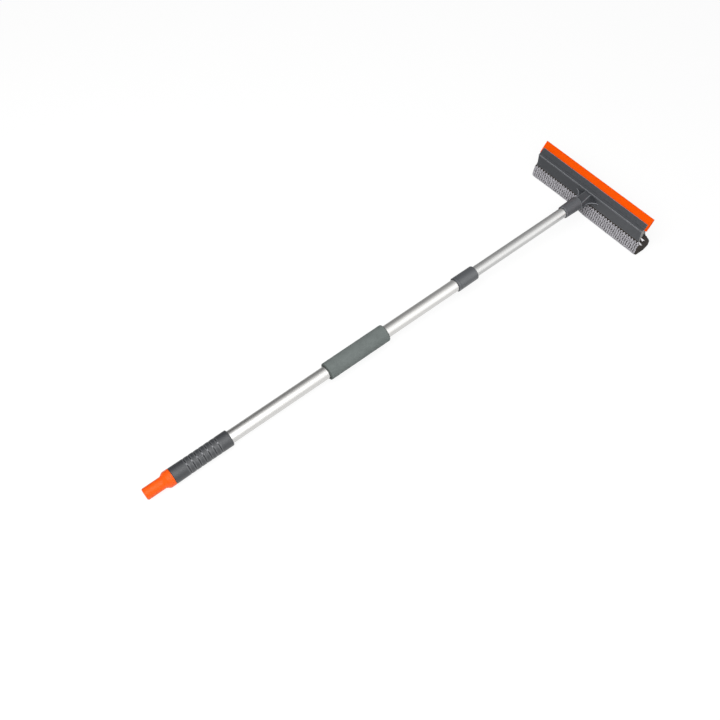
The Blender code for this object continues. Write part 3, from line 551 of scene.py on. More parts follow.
# Both tubes are plain, with the sawn edges broken by a hair
tubes = {"edge": 0.15, "wall": 0.8}


def tube(name, node, body, material):
    # a wall's section turned about the pole
    (start, *_), (end, _, outer) = nodeSpan(node)
    inner = outer - tubes["wall"]
    outline = roundedOutline([(start, outer), (end, outer), (end, inner), (start, inner)], tubes["edge"], 3)
    piece(name, [turnedPart(outline, 128)], body, node, material)


tube("tubeWide", "lower_tube", "lower_pole", brightAluminium)
tube("tubeThin", "upper_tube", "upper_pole", satinAluminium)

# The foam sleeve is cut from a hose of foam, so its ends are flat and its skin is uneven
foam = {"rounding": 1.6, "bore": 11.3, "lumps": 0.10, "lumpSlant": 0.7, "rings": 200, "segments": 160,
        "waves": {"seed": 5, "count": 14, "shortest": 6, "longest": 18}}


def waves(a, b, seed, count, shortest, longest):
    # a sum of sines of random direction, phase and wave length, between -1 and 1 or so
    random = np.random.default_rng(seed)
    length = random.uniform(shortest, longest, count)
    heading = random.uniform(0, fullTurn, count)
    phase = random.uniform(0, fullTurn, count)
    way = a[..., None] * np.cos(heading) + b[..., None] * np.sin(heading)
    return np.sin(fullTurn * way / length + phase).sum(axis=-1) / math.sqrt(count)


def foamSleeve():
    # radius = plain skin with rounded ends + lumps, low waves that close round the sleeve as they read sin a
    # and cos a
    (start, *_), (end, _, top) = nodeSpan("foam_sleeve")
    outer, rounding = top - foam["lumps"], foam["rounding"]
    turn = np.linspace(0, quarterTurn, 8)
    straight = np.linspace(start + rounding, end - rounding, foam["rings"])[1:-1]
    x = np.concatenate([start + rounding * (1 - np.cos(turn)), straight, end - rounding * (1 - np.sin(turn))])
    r = outer - rounding * np.concatenate([1 - np.sin(turn), np.zeros_like(straight), 1 - np.cos(turn)])
    angle = np.linspace(0, fullTurn, foam["segments"], endpoint=False)
    lump = waves(x[:, None] + foam["lumpSlant"] * outer * np.cos(angle), outer * np.sin(angle)[None],
                 **foam["waves"]) * foam["lumps"] / 2
    made = piece("foamGripSleeve", [sleeve(x, r[:, None] + lump, angle, foam["bore"])], "lower_pole",
                 "foam_sleeve", handleFoam)
    # painted shade on the cut ends and their rounding
    ends = np.clip(1 - np.minimum(x - start, end - x) / (rounding * 1.2), 0, 1) ** 0.5
    writeValue(made.data, "cutEnd", np.repeat(np.append(ends, [1, 1]), len(angle)))


foamSleeve()

# The ferrule: a foot ring, a fine groove, a smooth barrel and a rounded far edge
ferrule = {"footRadius": 13.2, "topRadius": 12.95, "footLength": 4.2, "grooveWidth": 1.0, "grooveDepth": 0.5,
           "rounding": 3.8, "edge": 0.5, "seat": 11.3, "guide": 9.8, "gap": 0.3, "seatEdge": 0.1,
           "grooveEdge": 0.2, "grooveFloor": 0.15, "guideEdge": 0.4}


def tubeFerrule():
    # a section with its own rounding at each corner, turned about the pole
    start, end = (corner[0] for corner in nodeSpan("tube_ferrule"))
    step = nodeSpan("lower_tube")[1][0] + ferrule["gap"]
    foot, top, seat, guide = (ferrule[key] for key in ("footRadius", "topRadius", "seat", "guide"))
    groove, floor = start + ferrule["footLength"], foot - ferrule["grooveDepth"]
    after = groove + ferrule["grooveWidth"]
    rounding = min(ferrule["rounding"], (top - guide) * 0.98)
    sharp, lip, hollow = (ferrule[key] for key in ("seatEdge", "grooveEdge", "grooveFloor"))
    corners = np.array([  # (x, r, rounding)
        (start, seat, sharp), (start, foot, ferrule["edge"]), (groove, foot, lip), (groove, floor, hollow),
        (after, floor, hollow), (after, foot, lip), (end, top, rounding), (end, guide, ferrule["guideEdge"]),
        (step, guide, sharp), (step, seat, sharp)])
    piece("ferruleCollar", [turnedPart(roundedOutline(corners[:, :2], corners[:, 2], 8))], "lower_pole",
          "tube_ferrule", ferrulePlastic)


tubeFerrule()
print("tubes, foam sleeve and ferrule made")

# The head's section, measured from the pole's axis at the plate's near face. The lip has two grooves along
# it, a flute and a fine line, as (start, end, slope, depth, rounding of the floor).
head = {"station": 947.1, "length": 258.4, "plateAngle": 88, "channelAngle": 38, "slotAngle": 52,
        "plateHeight": 25.5, "plateThickness": 4.6, "footThickness": 3.0, "bend": 9.9, "ribHeight": 0.9,
        "ribHalfWidth": 1.0, "ribRounding": 0.6, "channelHeight": 15.6, "lip": 1.2,
        "grooves": ((4.0, 6.6, 0.3, 0.5, 0.2), (9.2, 9.9, 0.2, 0.25, 0.08)), "slotDepth": 11.8,
        "slotWidth": 4.6,
        "slotRounding": 0.3, "backLip": 1.8, "backDrop": 0.4, "backWall": 15.0, "backRounding": 2.0,
        "flangeReach": 13.8, "flangeDrop": 15.8, "undercutDepth": 2.6, "undercutWidth": 0.6,
        "grooveWidth": 4.4,
        "grooveDepth": 5.5, "grooveInset": 2.2, "footRounding": 1.0, "softEdge": 0.5, "fineEdge": 0.2,
        "edge": 0.35, "sparedFrom": 3.0, "sparedTo": 12.0, "sparedDepth": 1.0, "sparedWearAndLight": 0.15}


def heading(degrees):
    # the direction that lies so many degrees above the x axis, in the section's plane
    return np.array([math.cos(math.radians(degrees)), math.sin(math.radians(degrees))])


plateUp, plateIn = heading(head["plateAngle"]), heading(head["plateAngle"] - 90)
channelUp, channelOut = heading(head["channelAngle"]), heading(head["channelAngle"] + 90)
slotUp, slotIn = heading(head["slotAngle"]), heading(head["slotAngle"] - 90)
bend = np.array([0, head["bend"]])
lipTop = bend + channelUp * head["channelHeight"]
plateFoot = bend - plateUp * head["plateHeight"]
flangeFoot = bend + [head["flangeReach"], -head["flangeDrop"]]
plateBackTop = np.array([head["plateThickness"], flangeFoot[1]])


def inHead(points):
    return points + [head["station"], 0, 0]


def headPiece(name, parts, replaces, material, sharp=50, weighted=True):
    parts = [(inHead(points), blocks) for points, blocks in parts]
    return piece(name, parts, "upper_pole", replaces, material, sharp, weighted)


def headRail():
    # Plate, step rib, channel lip with its grooves, undercut slot, back lip, flange and carrier groove in one
    # outline: a corner is a place and its rounding.
    def channel(up, inward):
        return lipTop + slotUp * up + slotIn * inward

    def face(up, outward):
        return bend + channelUp * up + channelOut * outward

    soft, fine, ribSoft, lipSoft = (
        head[key] for key in ("softEdge", "fineEdge", "ribRounding", "slotRounding"))
    rib, half, lip, wide = (head[key] for key in ("ribHeight", "ribHalfWidth", "lip", "undercutWidth"))
    far = lip + head["slotWidth"]
    full, drop, floor = far + head["backLip"], -head["backDrop"], -head["slotDepth"]
    under = floor + head["undercutDepth"]
    near = plateBackTop + [head["grooveInset"], 0]
    beyond, deep = near + [head["grooveWidth"], 0], [0, head["grooveDepth"]]
    corners = [(plateFoot, soft), (bend - plateUp * half * 1.25, 2 * fine),
               (bend - plateUp * half * 0.75 - plateIn * rib, ribSoft), (face(half * 0.75, rib), ribSoft),
               (face(half * 1.25, 0), 2 * fine)]
    for start, end, slope, depth, rounding in head["grooves"]:
        corners += [(face(start, 0), fine), (face(start + slope, -depth), rounding),
                    (face(end - slope, -depth), rounding), (face(end, 0), fine)]
    corners += [(lipTop, soft), (channel(0, lip), lipSoft), (channel(under, lip), fine),
                (channel(under, lip - wide), fine), (channel(floor, lip - wide), fine),
                (channel(floor, far + wide), fine), (channel(under, far + wide), fine),
                (channel(under, far), fine), (channel(drop, far), lipSoft), (channel(drop, full), soft),
                (channel(-head["backWall"], full), head["backRounding"]), (flangeFoot, soft), (beyond, fine),
                (beyond + deep, fine), (near + deep, fine), (near, fine),
                (plateBackTop, head["footRounding"]), (plateFoot + plateIn * head["footThickness"], soft)]
    return drawnPart(roundedOutline(*zip(*corners), 4), head["length"] / 2, head["edge"])


# The socket, the hub between it and the plate, and the gussets. The hub's front edge is rounded by (x, inset)
# steps.
hub = {"socketLength": 36.3, "mouthRadius": 11.65, "rootRadius": 12.6, "bore": 9.8, "endWall": 8.0,
       "hubLength": 27.3, "halfWidth": 12.7, "shoulder": -2.2, "sideAngle": 57, "nearTop": 4.0, "farTop": 7.6,
       "bottom": -6.2, "sink": 1.0, "frontRounding": ((-0.6, 0.6), (-0.24, 0.2), (-0.06, 0.05)),
       "span": 32.4, "reach": 19.5, "webTop": -2.4, "webThickness": 3.0, "rimWidth": 2.1, "rimHeight": 0.9,
       "ringEdge": 0.8, "ringWidth": 1.7, "ringHeight": 0.65, "ringSlope": 0.3, "ridge": 1.5,
       "socketRoundings": (0.3, 0.8, 0.2, 0.6), "footRounding": 0.8, "shoulderRounding": 0.9,
       "barRoundings": (0.2, 0.2, 0.9, 0.9), "overlap": 1.0}


def headSocket():
    # a cone that widens evenly from its mouth to its root, with a ring at the far end; the bore has an end
    # wall but no side, and the upper tube stands in front of the open place
    end, root, bore = -hub["hubLength"], hub["rootRadius"], hub["bore"]
    start, ring, wall = end - hub["socketLength"], end - hub["ringWidth"], end - hub["endWall"]
    crest = root + hub["ringHeight"]
    corners = [(start, bore), (start, hub["mouthRadius"]), (ring - hub["ringSlope"], root), (ring, crest),
               (end, crest), (end, bore)]
    # five rounded corners of nine points each; the sixth is only there to lead the last one inwards
    skin = roundedOutline(corners, [*hub["socketRoundings"], hub["ringEdge"], 0], 6)[:5 * 9]
    return turnedPart([*skin, (end, 0), (wall, 0), (wall, bore)], closed=False)


def hubBlock():
    # a section with sloping sides that changes evenly from the socket to the plate
    wide, shoulder, ridge, steps = hub["halfWidth"], hub["shoulder"], hub["ridge"], 30

    def section(top):
        narrow = wide - (top - shoulder) / math.tan(math.radians(hub["sideAngle"]))
        corners = [(-wide, hub["bottom"]), (wide, hub["bottom"]), (wide, shoulder), (narrow, top),
                   (-narrow, top), (-wide, shoulder)]
        foot, side = hub["footRounding"], hub["shoulderRounding"]
        return roundedOutline(corners, [foot, foot, side, ridge, ridge, side])

    near, far = section(hub["nearTop"]), section(hub["farTop"])
    front = np.array(hub["frontRounding"])
    share = np.append(np.zeros(len(front)), np.linspace(0, 1, steps))
    x = np.append(front[:, 0], np.linspace(0, hub["hubLength"] + hub["sink"], steps)) - hub["hubLength"]
    inset = np.append(front[:, 1], np.zeros(steps))
    rows = near + (far - near) * share[:, None, None] + (shrunk(near, 1.0) - near) * inset[:, None, None]
    return [capped(xyz(x[:, None], rows[..., 0], rows[..., 1]))]


def gussetParts(side):
    # The front edge is a quarter ellipse: x = reach (sin a - 1), y = span - (span - half width) cos a.
    # The web fills from it to the plate, and the rim is a rounded bar carried along it.
    span, wide, sink, thick, top = (
        hub[key] for key in ("span", "halfWidth", "sink", "webThickness", "webTop"))
    a = np.linspace(0, quarterTurn, 28)
    x = hub["reach"] * (np.sin(a) - 1)
    y = span - (span - wide) * np.cos(a)
    inner = (y - hub["overlap"] * (y < wide + 0.1)) * side  # the root reaches into the hub
    share = np.array([0, 0, 0.06, 0.94, 1, 1])  # places round the web, from its front edge to the plate
    web = xyz(x[:, None] + (sink - x[:, None]) * share, inner[:, None],
              top - thick * np.array([1, 0, 0, 0, 0, 1]))
    path = np.column_stack([np.append(x, sink), np.append(y, span)])
    along = unit(np.gradient(path, axis=0))
    inward = np.column_stack([along[:, 1], -along[:, 0]])
    half, rise = hub["rimWidth"] / 2, hub["rimHeight"]
    bar = roundedOutline([(-half, -rise - thick), (half, -rise - thick), (half, rise), (-half, rise)],
                         hub["barRoundings"])
    rows = (path + inward * half)[:, None] + inward[:, None] * bar[:, :1]
    return [capped(web), capped(xyz(rows[..., 0], rows[..., 1] * side, top + bar[:, 1]))]


rail = headPiece("headRail", [headRail()], "head_body", headPlastic)
for name, parts, sharp in (("headSocket", [headSocket()], 40), ("headHub", hubBlock(), 50),
                           ("gussetFar", gussetParts(1), 50), ("gussetNear", gussetParts(-1), 50)):
    headPiece(name, parts, "head_body", headPlastic, sharp)
# The rail is sawn to length, which leaves its ends pale; wear and painted highlight lie on its rib but are
# # mostly kept off the lip's grooves above it
railPoints = toPole(readArray(rail.data.vertices, "co", 3)) - [head["station"], 0, 0]
writeValue(rail.data, "sawn", np.abs(railPoints[:, 1]) > head["length"] / 2 - head["edge"] * 0.3)
up, outwards = ((railPoints[:, [0, 2]] - bend) @ way for way in (channelUp, channelOut))
wearAndLight = readArray(rail.data.attributes["edgeWearAndLight"].data, "value")
spared = (np.abs(outwards) < head["sparedDepth"]) & (up > head["sparedFrom"]) & (up < head["sparedTo"])
wearAndLight[spared] *= head["sparedWearAndLight"]
writeValue(rail.data, "edgeWearAndLight", wearAndLight)

# The rubber: a bead in the slot, a straight root and a lip that tapers to a square edge
blade = {"length": 264.8, "reach": 13.1, "root": 4.0, "tip": 2.0, "bead": 5.0, "beadHeight": 2.0,
         "shoulder": 3.0, "gap": 0.3, "edge": 0.15, "roundings": (0.4, 0.3, 0.15, 1.5, 0.12)}


def rubberBlade():
    middle, foot = head["lip"] + head["slotWidth"] / 2, blade["gap"] - head["slotDepth"]
    bead, root, tip = blade["bead"] / 2, blade["root"] / 2, blade["tip"] / 2
    # half of the section as (up the slot, out from its middle, rounding), then the other half as its mirror
    # image
    up = (foot, foot + blade["beadHeight"], foot + blade["beadHeight"], blade["shoulder"], blade["reach"])
    section = np.column_stack([up, (bead, bead, root, root, tip), blade["roundings"]])
    section = np.concatenate([section, section[::-1] * [1, -1, 1]])
    corners = lipTop + slotUp * section[:, :1] + slotIn * (middle - section[:, 1:2])
    return drawnPart(roundedOutline(corners, section[:, 2], 4), blade["length"] / 2, blade["edge"], 40)


headPiece("bladeRubber", [rubberBlade()], "rubber_blade", bladeRubber)

# The strip behind the sponge, its rail in the body's groove
carrier = {"thickness": 1.8, "width": 9.5, "gap": 0.3, "edge": 0.3}


def carrierStrip():
    # a flat strip with a rail that stands up in the body's groove, carried along the head
    gap, edge = carrier["gap"], carrier["edge"]
    start, near = plateBackTop[0] + gap, plateBackTop[0] + head["grooveInset"] + gap
    far, end = near + head["grooveWidth"] - 2 * gap, start + carrier["width"]
    face, deep = flangeFoot[1] - gap, flangeFoot[1] + head["grooveDepth"] - gap
    under = face - carrier["thickness"]
    corners = [(start, face), (near, face), (near, deep), (far, deep), (far, face), (end, face), (end, under),
               (start, under)]
    return drawnPart(roundedOutline(corners, edge, 3), head["length"] / 2, edge, 8)


headPiece("carrierStrip", [carrierStrip()], "sponge_carrier", carrierPlastic)
print("head, blade and carrier made")

# The pad: foam cut to a section that hangs under the plate, with soft corners and uneven faces. Its near half
# is pressed out towards the pole along the lower edge, and its far end is rounded by the net drawn round it.
pad = {"length": 266.5, "drop": 46.5, "shell": 1.3, "footBack": 6.6, "toeAhead": 14.5, "noseAhead": 25.8,
       "noseBelow": 40.0, "shoulderAhead": 26.8, "shoulderBelow": 29.0, "neckAhead": 19.5, "neckBelow": 18.5,
       "topWidth": 9.5, "lumps": 0.35, "waves": {"seed": 11, "count": 18, "shortest": 4, "longest": 16},
       "gap": 0.3, "topGap": 0.6, "hiddenRoundings": (0.6, 0.4, 0.6, 0.5), "rounding": 3.5,
       "softRounding": 5.0,
       "neckRounding": 2.0, "middle": (2, -38), "farStretch": 1.2, "farRounding": 6.0, "farShrink": 0.42,
       "nearRounding": 2.0, "nearShrink": 0.05, "swell": 3.3, "swellTop": 17, "swellStart": 28,
       "swellRun": 38, "swellBottom": 2, "farSwell": 2.0, "farSwellStart": 40, "around": 132, "rings": 290}


def padOutline(neckRounding):
    # the pad's section, from its neck behind the plate, round by the plate's foot, the toe and the nose
    bottom = pad["shell"] - pad["drop"]
    footDrop = bottom + (pad["toeAhead"] + pad["footBack"]) * math.tan(poleTilt)
    start, top = plateBackTop[0] + pad["gap"], flangeFoot[1] - carrier["thickness"] - pad["topGap"]
    foot = plateFoot - plateUp * pad["gap"]
    corners = [(start + pad["topWidth"], top), (start, top), (start, foot[1]),
               (foot[0] + pad["shell"], foot[1]),
               (pad["shell"] - pad["footBack"], footDrop), (pad["toeAhead"], bottom),
               (pad["noseAhead"], -pad["noseBelow"]), (pad["shoulderAhead"], -pad["shoulderBelow"]),
               (pad["neckAhead"], -pad["neckBelow"])]
    firm, soft = pad["rounding"], pad["softRounding"]
    return roundedOutline(corners, [*pad["hiddenRoundings"], firm, soft, soft, firm, neckRounding], 8)


def alongPad(u):
    # u is a run along the pad that goes on round both ends: there y = end - r (1 - sin a), with a the run
    # past the rounding's start over r, and the section shrinks to 1 - share (1 - cos a) of its size
    low, high = -pad["length"] / 2, pad["length"] / 2 + pad["farStretch"]
    far, near = pad["farRounding"], pad["nearRounding"]
    a = np.clip((u - high + far) / far, 0, quarterTurn)
    b = np.clip((near + low - u) / near, 0, quarterTurn)
    y = np.clip(u, near + low, high - far) + far * np.sin(a) - near * np.sin(b)
    return y, 1 - pad["farShrink"] * (1 - np.cos(a)) - pad["nearShrink"] * (1 - np.cos(b)), a - b


def swollen(points):
    # the lower edge moves out by swell * smooth step of y over the run at the near half, and by a square at
    # the far end, both fading upwards
    x, y, z = points[..., 0], points[..., 1], points[..., 2]
    depth = np.clip((-z - pad["swellTop"]) / (pad["drop"] - pad["swellBottom"] - pad["swellTop"]), 0, 1)
    front = np.clip((pad["toeAhead"] - x) / (pad["toeAhead"] + pad["footBack"]), 0, 1)
    step = np.clip((pad["swellStart"] - y) / pad["swellRun"], 0, 1)
    beyond = np.clip((y - pad["farSwellStart"]) / (pad["length"] / 2 - pad["farSwellStart"]), 0, 1)
    out = front * depth * (pad["swell"] * step ** 2 * (3 - 2 * step) + pad["farSwell"] * beyond ** 2)
    return points + out[..., None] * [-1, 0, math.tan(poleTilt)]


def padFoamBlock():
    # The section is carried along the pad with points about 0.9 mm apart all round, so that the lumps have
    # somewhere to go: point = middle + (outline - middle) * scale + inward normal * lump, then swollen.
    outline = padOutline(pad["neckRounding"])
    closed = np.concatenate([outline, outline[:1]])
    run = runAlong(closed)
    at = np.linspace(0, run[-1], pad["around"], endpoint=False)
    outline = np.column_stack([np.interp(at, run, closed[:, i]) for i in (0, 1)])
    near, far, middle = pad["nearRounding"], pad["farRounding"], np.array(pad["middle"])
    start, stop = near - pad["length"] / 2, pad["length"] / 2 + pad["farStretch"] - far
    u = np.concatenate([start - near * quarterTurn * np.linspace(1, 0, 6),
                        np.linspace(start, stop, pad["rings"])[1:-1],
                        stop + far * quarterTurn * np.linspace(0, 1, 10)])
    y, scale, _ = alongPad(u)
    # lumps are pressed inwards only: between 0 and one lump height
    lump = (waves(y[:, None], at[None], **pad["waves"]).clip(-1.5, 1.5) / 3 + 0.5) * pad["lumps"]
    rows = (middle + (outline - middle) * scale[:, None, None]
            + (shrunk(outline, 1.0) - outline) * lump[..., None])
    return capped(swollen(xyz(rows[..., 0], y[:, None], rows[..., 1])))


headPiece("padFoamBlock", [padFoamBlock()], "sponge", padFoam, 60, False)

# The net: columns of two flat yarns that run down the pad's near face and on round under it, drawing together
# and apart, with a thin yarn that zigzags from column to column. Its top edge is a cord drawn into points.
net = {"columns": 57, "scallops": 42, "yarnWide": 0.72, "yarnThick": 0.34, "apart": 0.66, "swing": 0.42,
       "period": 6.4, "sway": 0.45, "swayShift": 0.9, "linkWide": 0.30, "linkReach": 0.36, "linkPeriod": 4.6,
       "linkShift": 2.4, "scallopDepth": 6.0, "scallopStart": 3.1, "cord": 0.58, "flatness": 0.8, "around": 5,
       "steps": 8, "linkSteps": 6, "nearEdge": 2.0, "farTurn": 1.45, "offFoam": 0.65, "endRounding": 0.5}

# the way from the plate's foot down the near face, under the pad and up behind it, just outside the foam; it
# leaves out the pad's first three corners of eleven points, and the guard point of the fourth
wrapLine = shrunk(padOutline(net["endRounding"]), -net["offFoam"])[3 * 11 + 1:]
wrapRun = runAlong(wrapLine)
wrapAhead = unit(np.column_stack([np.gradient(wrapLine[:, i], wrapRun) for i in (0, 1)]))


def onNet(u, t):
    # the point at run u along the pad and run t round it, and the direction away from the foam there
    x, z = (np.interp(t, wrapRun, wrapLine[:, i]) for i in (0, 1))
    aheadX, aheadZ = (np.interp(t, wrapRun, wrapAhead[:, i]) for i in (0, 1))
    y, scale, turn = alongPad(u)
    middleX, middleZ = pad["middle"]
    point = xyz(middleX + (x - middleX) * scale, y, middleZ + (z - middleZ) * scale)
    return swollen(point), unit(xyz(-aheadZ * np.cos(turn), np.sin(turn), aheadX * np.cos(turn)))


def yarns(centre, out, wide, thick, around):
    # A flat oval section carried along each yarn, one row of centres for each: point = centre + across * wide
    # cos a + up * thick sin a. u runs round the yarn and v along it, in millimetres.
    along = unit(np.gradient(centre, axis=1))
    across = unit(np.cross(along, out))
    angle = np.linspace(0, fullTurn, around, endpoint=False)[:, None]
    count, steps = centre.shape[:2]
    wide = np.broadcast_to(wide, (count, steps))[..., None, None]
    grid = (centre[..., None, :] + across[..., None, :] * np.cos(angle) * wide
            + np.cross(across, along)[..., None, :] * np.sin(angle) * thick)
    start = np.arange(count)[:, None] * steps * around
    faces = (gridFaces(steps, around) + start[..., None]).reshape(-1, 4)
    ends = start + np.arange(around)
    uv = np.stack(np.broadcast_arrays(np.arange(around) / 2, runAlong(centre)[..., None]), axis=-1)
    return inHead(grid), [faces, ends[:, ::-1], ends + (steps - 1) * around], uv.reshape(-1, 2)


def yarnPiece(name, bundles, material):
    # bundles are what yarns gives, made one mesh with their u and v on its corners
    made = placed(name, [bundle[:2] for bundle in bundles], "upper_pole", material)
    loops = readArray(made.data.loops, "vertex_index", 1, np.int32)
    uv = np.concatenate([bundle[2] for bundle in bundles])[loops]
    made.data.uv_layers.new(name="yarn").data.foreach_set("uv", uv.astype(np.float32).ravel())
    return made


def netPiece():
    # Yarns run down at u = column middle + side * (apart + swing cos) + sway sin, over t. The links lie
    # between the columns at u = middle + reach * pitch * cos, each with its own phase, and the top edge at t
    # = start + depth * triangle wave of u.
    low = net["nearEdge"] - pad["length"] / 2
    high = pad["length"] / 2 + pad["farStretch"] - pad["farRounding"] * (1 - net["farTurn"])
    pitch, end, apart, around = (high - low) / net["columns"], wrapRun[-1], net["apart"], net["around"]

    def topEdge(u):
        share = (u - low) / (high - low) * net["scallops"]
        return net["scallopStart"] + net["scallopDepth"] * np.abs(share % 1 * 2 - 1)

    def down(middle, period, steps):
        return topEdge(middle) + (end - topEdge(middle)) * np.linspace(0, 1, int(end / period * steps))

    k = np.arange(2 * net["columns"])[:, None]
    column, side = k // 2, 2 * (k % 2) - 1
    middle = low + (column + 0.5) * pitch
    t = down(middle + side * apart, net["period"], net["steps"])
    turn = fullTurn * t / net["period"]
    u = middle + side * (apart + net["swing"] * np.cos(turn))
    u = u + net["sway"] * np.sin(turn / 2 + column * net["swayShift"])
    columns = yarns(*onNet(u, t), net["yarnWide"], net["yarnThick"], around)
    k = np.arange(1, net["columns"])[:, None]
    t = down(low + k * pitch, net["linkPeriod"], net["linkSteps"])
    swing = np.cos(fullTurn * t / net["linkPeriod"] + k * net["linkShift"])
    u = low + k * pitch + net["linkReach"] * pitch * swing
    links = yarns(*onNet(u, t), net["linkWide"], net["linkWide"] * net["flatness"], 4)
    edge = np.linspace(low, high, net["scallops"] * 12)[None]
    cord = yarns(*onNet(edge, topEdge(edge)), net["cord"], net["cord"] * net["flatness"], around)
    made = yarnPiece("netKnitted", [columns, links, cord], netYarn)
    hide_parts("net_cover")


netPiece()

# Where the net's edge ends beside the plate, its white hem yarn is cut off and has frayed into two tufts
tufts = {"roots": ((3.0, -129.3, -8.4), (0.2, -129.4, -16.6)),
         "tips": ((3.2, -135.0, -10.8), (-0.2, -134.6, -19.8)),
         "spread": (0.9, 1.2), "strands": 15, "thick": 0.34, "steps": 8, "around": 5, "seed": 3,
         "shortest": 0.75, "longest": 1.05, "rootWidth": 1.1, "taper": 0.5, "rootLean": 0.25, "bend": 0.6}


def hemTufts():
    # each strand bends away from its tuft's middle line with the square of the way along it
    random = np.random.default_rng(tufts["seed"])
    share = np.linspace(0, 1, tufts["steps"])[:, None]
    wide = tufts["thick"] * (tufts["rootWidth"] - tufts["taper"] * share[:, 0] ** 3)
    bundles = []
    for root, tip, spread in zip(tufts["roots"], tufts["tips"], tufts["spread"]):
        lean = random.normal(0, spread, (tufts["strands"], 1, 3))
        length = random.uniform(tufts["shortest"], tufts["longest"], (tufts["strands"], 1, 1))
        centre = root + lean * (tufts["rootLean"] + tufts["bend"] * share ** 2)
        centre = centre + np.subtract(tip, root) * share * length
        out = np.broadcast_to([0.0, 0.0, 1.0], centre.shape)
        bundles.append(yarns(centre, out, wide, tufts["thick"], tufts["around"]))
    yarnPiece("hemTufts", bundles, hemYarn)


hemTufts()
print("pad and net made")

# The lock inside the tubes keeps its solids
for name in ("lock_sleeve", "lock_cone", "lock_stud"):
    frame["nodes"][name].data.materials.clear()
    frame["nodes"][name].data.materials.append(lockNylon)

# The stage, in metres: a paper floor, a light tent that only gloss sees, a softbox and a pale room.
# Brightness of what is seen is given apart from the light that falls.
stage = {"halfFloor": 4.0, "floorBelow": 0.0005, "paper": ("#f2f2f2", "#f6f6f6"), "fibre": 0.8,
         "seenPaper": 1.09,
         "glossPaper": (0.92, 0.38), "glossEdge": (-0.015, 0.02), "whiteShare": 0.8, "roomLight": 0.26,
         "roomSeen": 0.97}
white = (1.0, 1.0, 1.0, 1.0)


def seenRays(tree):
    # the light path, and 1 for what the camera, gloss or a clear body sees, 0 for light that falls
    rays = addNode(tree, "LightPath", (), None)
    seen = rays["Is Camera Ray"]
    for kind in ("Is Glossy Ray", "Is Transmission Ray"):
        seen = addNode(tree, "Math", (seen, rays[kind]), operation="MAXIMUM")
    return rays, seen


def card(name, corners, material, faces=((0, 1, 2, 3),)):
    # a plain part of the stage, its corners in metres
    mesh = bpy.data.meshes.new(name)
    mesh.from_pydata(corners, [], faces)
    mesh.materials.append(material)
    made = linked(name, mesh)
    return made


def floorPaper():
    # Seamless white paper. What the camera and gloss see of it is part lit paper, which takes the shadow, and
    # part plain white. Gloss sees the far side's paper darker, away from the light.
    made, tree = newMaterial("paperFloorWhite")
    rays, seen = seenRays(tree)
    place = addNode(tree, "TexCoord", (), "Object")
    fibre = addNode(tree, "TexNoise", {"Vector": place, "Scale": 1 / (stage["fibre"] * mm), "Detail": 3,
                                       "Roughness": 0.55})
    shade = addNode(tree, "ValToRGB", (fibre,), stops=colourStops((0.3, 0.7), stage["paper"]))
    across = addNode(tree, "SeparateXYZ", (place,), "Y")
    gloss = addNode(tree, "MapRange", (across, *stage["glossEdge"], *stage["glossPaper"]))
    glow = addNode(tree, "MapRange", (rays["Is Glossy Ray"], 0.0, 1.0, stage["seenPaper"], gloss))
    share = addNode(tree, "Math", (seen, stage["whiteShare"]), operation="MULTIPLY")
    mix = addNode(tree, "MixShader", (share, addNode(tree, "BsdfDiffuse", (shade,)),
                                      addNode(tree, "Emission", (white, glow))))
    addNode(tree, "OutputMaterial", (mix,), None)
    return made


half, below = stage["halfFloor"], -stage["floorBelow"]
card("paperFloor", [(-half, -half, below), (half, -half, below), (half, half, below), (-half, half, below)],
     floorPaper())

# The tent is a half cylinder along the tool. Lean, narrowing and strength change with x; glow with the angle
# from the band's middle.
tent = {"radius": 2.2, "halfLength": 3.0, "sides": 48, "weave": 4.0, "weaveLevels": (0.99, 1.01),
        "lean": ((-0.4, 82), (-0.14, 130), (0.12, 130), (0.38, 125), (1.5, 145)),
        "narrowing": ((-0.1, 2.4), (-0.045, 1.0), (0.5, 1.0), (1.4, 0.7)),
        "strength": ((-0.8, 0.55), (-0.45, 1.6), (-0.32, 3.4), (-0.1, 5.0), (-0.045, 1.6), (1.5, 1.6)),
        "glow": ((-115, 0.15), (-76, 0.23), (-53, 0.43), (-36, 0.66), (-18, 0.88), (0, 1.0), (17, 0.93),
                 (33, 0.75), (52, 0.59), (75, 0.57))}


def tentCloth():
    # Translucent cloth, lit from behind along a band that crosses the tool at a slant: overhead at the butt
    # and over to the near side at the head. The band is narrower and brighter at the butt, and wider at the
    # head: brightness = strength * glow ^ narrowing, with a faint weave.
    made, tree = newMaterial("tentTranslucentCloth")
    place = addNode(tree, "TexCoord", (), "Object")
    at = addNode(tree, "SeparateXYZ", (place,), None)
    angle = addNode(tree, "Math", (at["Z"], at["Y"]), operation="ARCTAN2")
    middle = stretched(tree, at["X"], [(x, math.radians(degrees)) for x, degrees in tent["lean"]])
    off = addNode(tree, "Math", (angle, middle), operation="SUBTRACT")
    degrees, levels = zip(*tent["glow"])
    low, high = math.radians(degrees[0]), math.radians(degrees[-1])
    share = addNode(tree, "MapRange", (off, low, high, 0.0, 1.0))
    glow = addNode(tree, "ValToRGB", (share,), stops=[
        ((math.radians(a) - low) / (high - low), (level, level, level, 1.0))
        for a, level in zip(degrees, levels)])
    narrowing, strength = (stretched(tree, at["X"], tent[key]) for key in ("narrowing", "strength"))
    threads = addNode(tree, "TexNoise", {"Vector": place, "Scale": 1 / (tent["weave"] * mm), "Detail": 2,
                                         "Roughness": 0.55})
    weave = addNode(tree, "MapRange", (threads, 0.3, 0.7, *tent["weaveLevels"]))
    band = addNode(tree, "Math", (glow, narrowing), operation="POWER")
    for factor in (strength, weave):
        band = addNode(tree, "Math", (band, factor), operation="MULTIPLY")
    addNode(tree, "OutputMaterial", (addNode(tree, "Emission", (white, band)),), None)
    return made


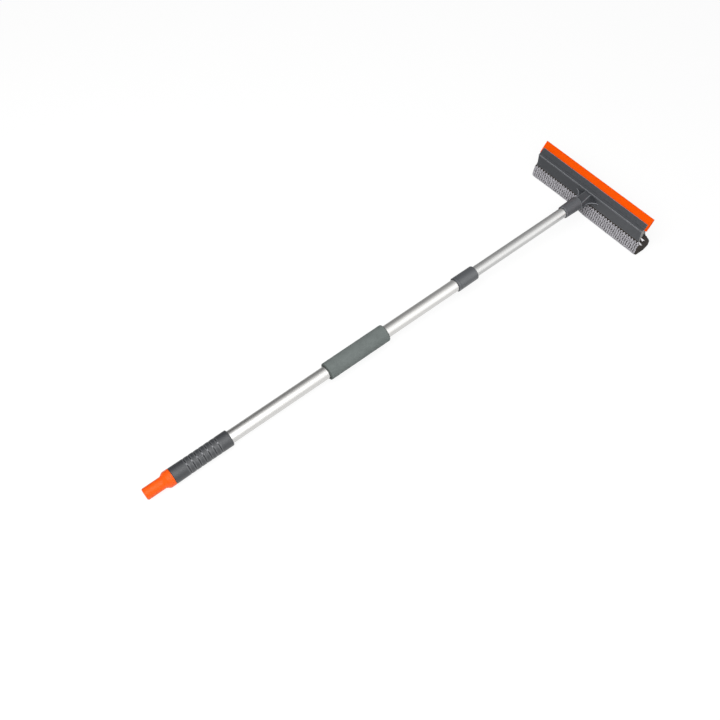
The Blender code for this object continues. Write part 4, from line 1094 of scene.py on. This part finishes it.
def lightTent():
    # y = radius cos a, z = radius sin a, between its two ends
    turn = np.linspace(0, math.pi, tent["sides"] + 1)[:, None]
    ends = np.array([-tent["halfLength"], tent["halfLength"]])
    corners = xyz(ends, tent["radius"] * np.cos(turn), tent["radius"] * np.sin(turn)).reshape(-1, 3)
    made = card("lightTent", corners.tolist(), tentCloth(),
                [(i, i + 2, i + 3, i + 1) for i in range(0, 2 * tent["sides"], 2)])
    for ray in ("camera", "diffuse", "shadow", "transmission"):
        setattr(made, "visible_" + ray, False)


lightTent()


# A softbox over the butt's near side, turned to the tool's middle. Gloss sees the tent instead.
softbox = {"place": (-0.85, -0.50, 1.60), "size": (2.2, 1.5), "power": 37}


def keyLight():
    # its columns are right, up and back, back being the way from the tool's middle to the light
    light = bpy.data.lights.new("keySoftbox", "AREA")
    light.shape = "RECTANGLE"
    light.size, light.size_y = softbox["size"]
    light.energy = softbox["power"]
    made = linked("keySoftbox", light)
    back = unit(np.array(softbox["place"]))
    right = unit(np.cross([0, 0, 1.0], back))
    rows = np.column_stack([right, np.cross(back, right), back, softbox["place"]])
    made.matrix_world = Matrix([*rows.tolist(), (0, 0, 0, 1)])
    made.visible_camera = made.visible_glossy = False


keyLight()

world = bpy.data.worlds.new("paleStudio")
bpy.context.scene.world = world
world.use_nodes = True
world.node_tree.nodes.clear()
light, wall = (
    addNode(world.node_tree, "Background", (white, stage[key])) for key in ("roomLight", "roomSeen"))
room = addNode(world.node_tree, "MixShader", (seenRays(world.node_tree)[1], light, wall))
addNode(world.node_tree, "OutputWorld", (room,), None)

# The camera stands over the butt's near side and looks down along the pole
view = {"lens": 45.0, "sensor": 36.0, "shift": 0.5 / 720, "place": (-0.56752253, -0.71630001, 1.24714744),
        "tilt": 34.797222, "roll": 2.026461, "heading": -37.623637}
lens = bpy.data.cameras.new("photoView")
lens.lens, lens.sensor_width = view["lens"], view["sensor"]
lens.shift_x, lens.shift_y = -view["shift"], view["shift"]
camera = linked("photoView", lens)
aim = Euler([math.radians(view[key]) for key in ("tilt", "roll", "heading")])
camera.matrix_world = Matrix.Translation(view["place"]) @ aim.to_matrix().to_4x4()
bpy.context.scene.camera = camera
bpy.context.scene.view_settings.view_transform = "Standard"
print("stage made")
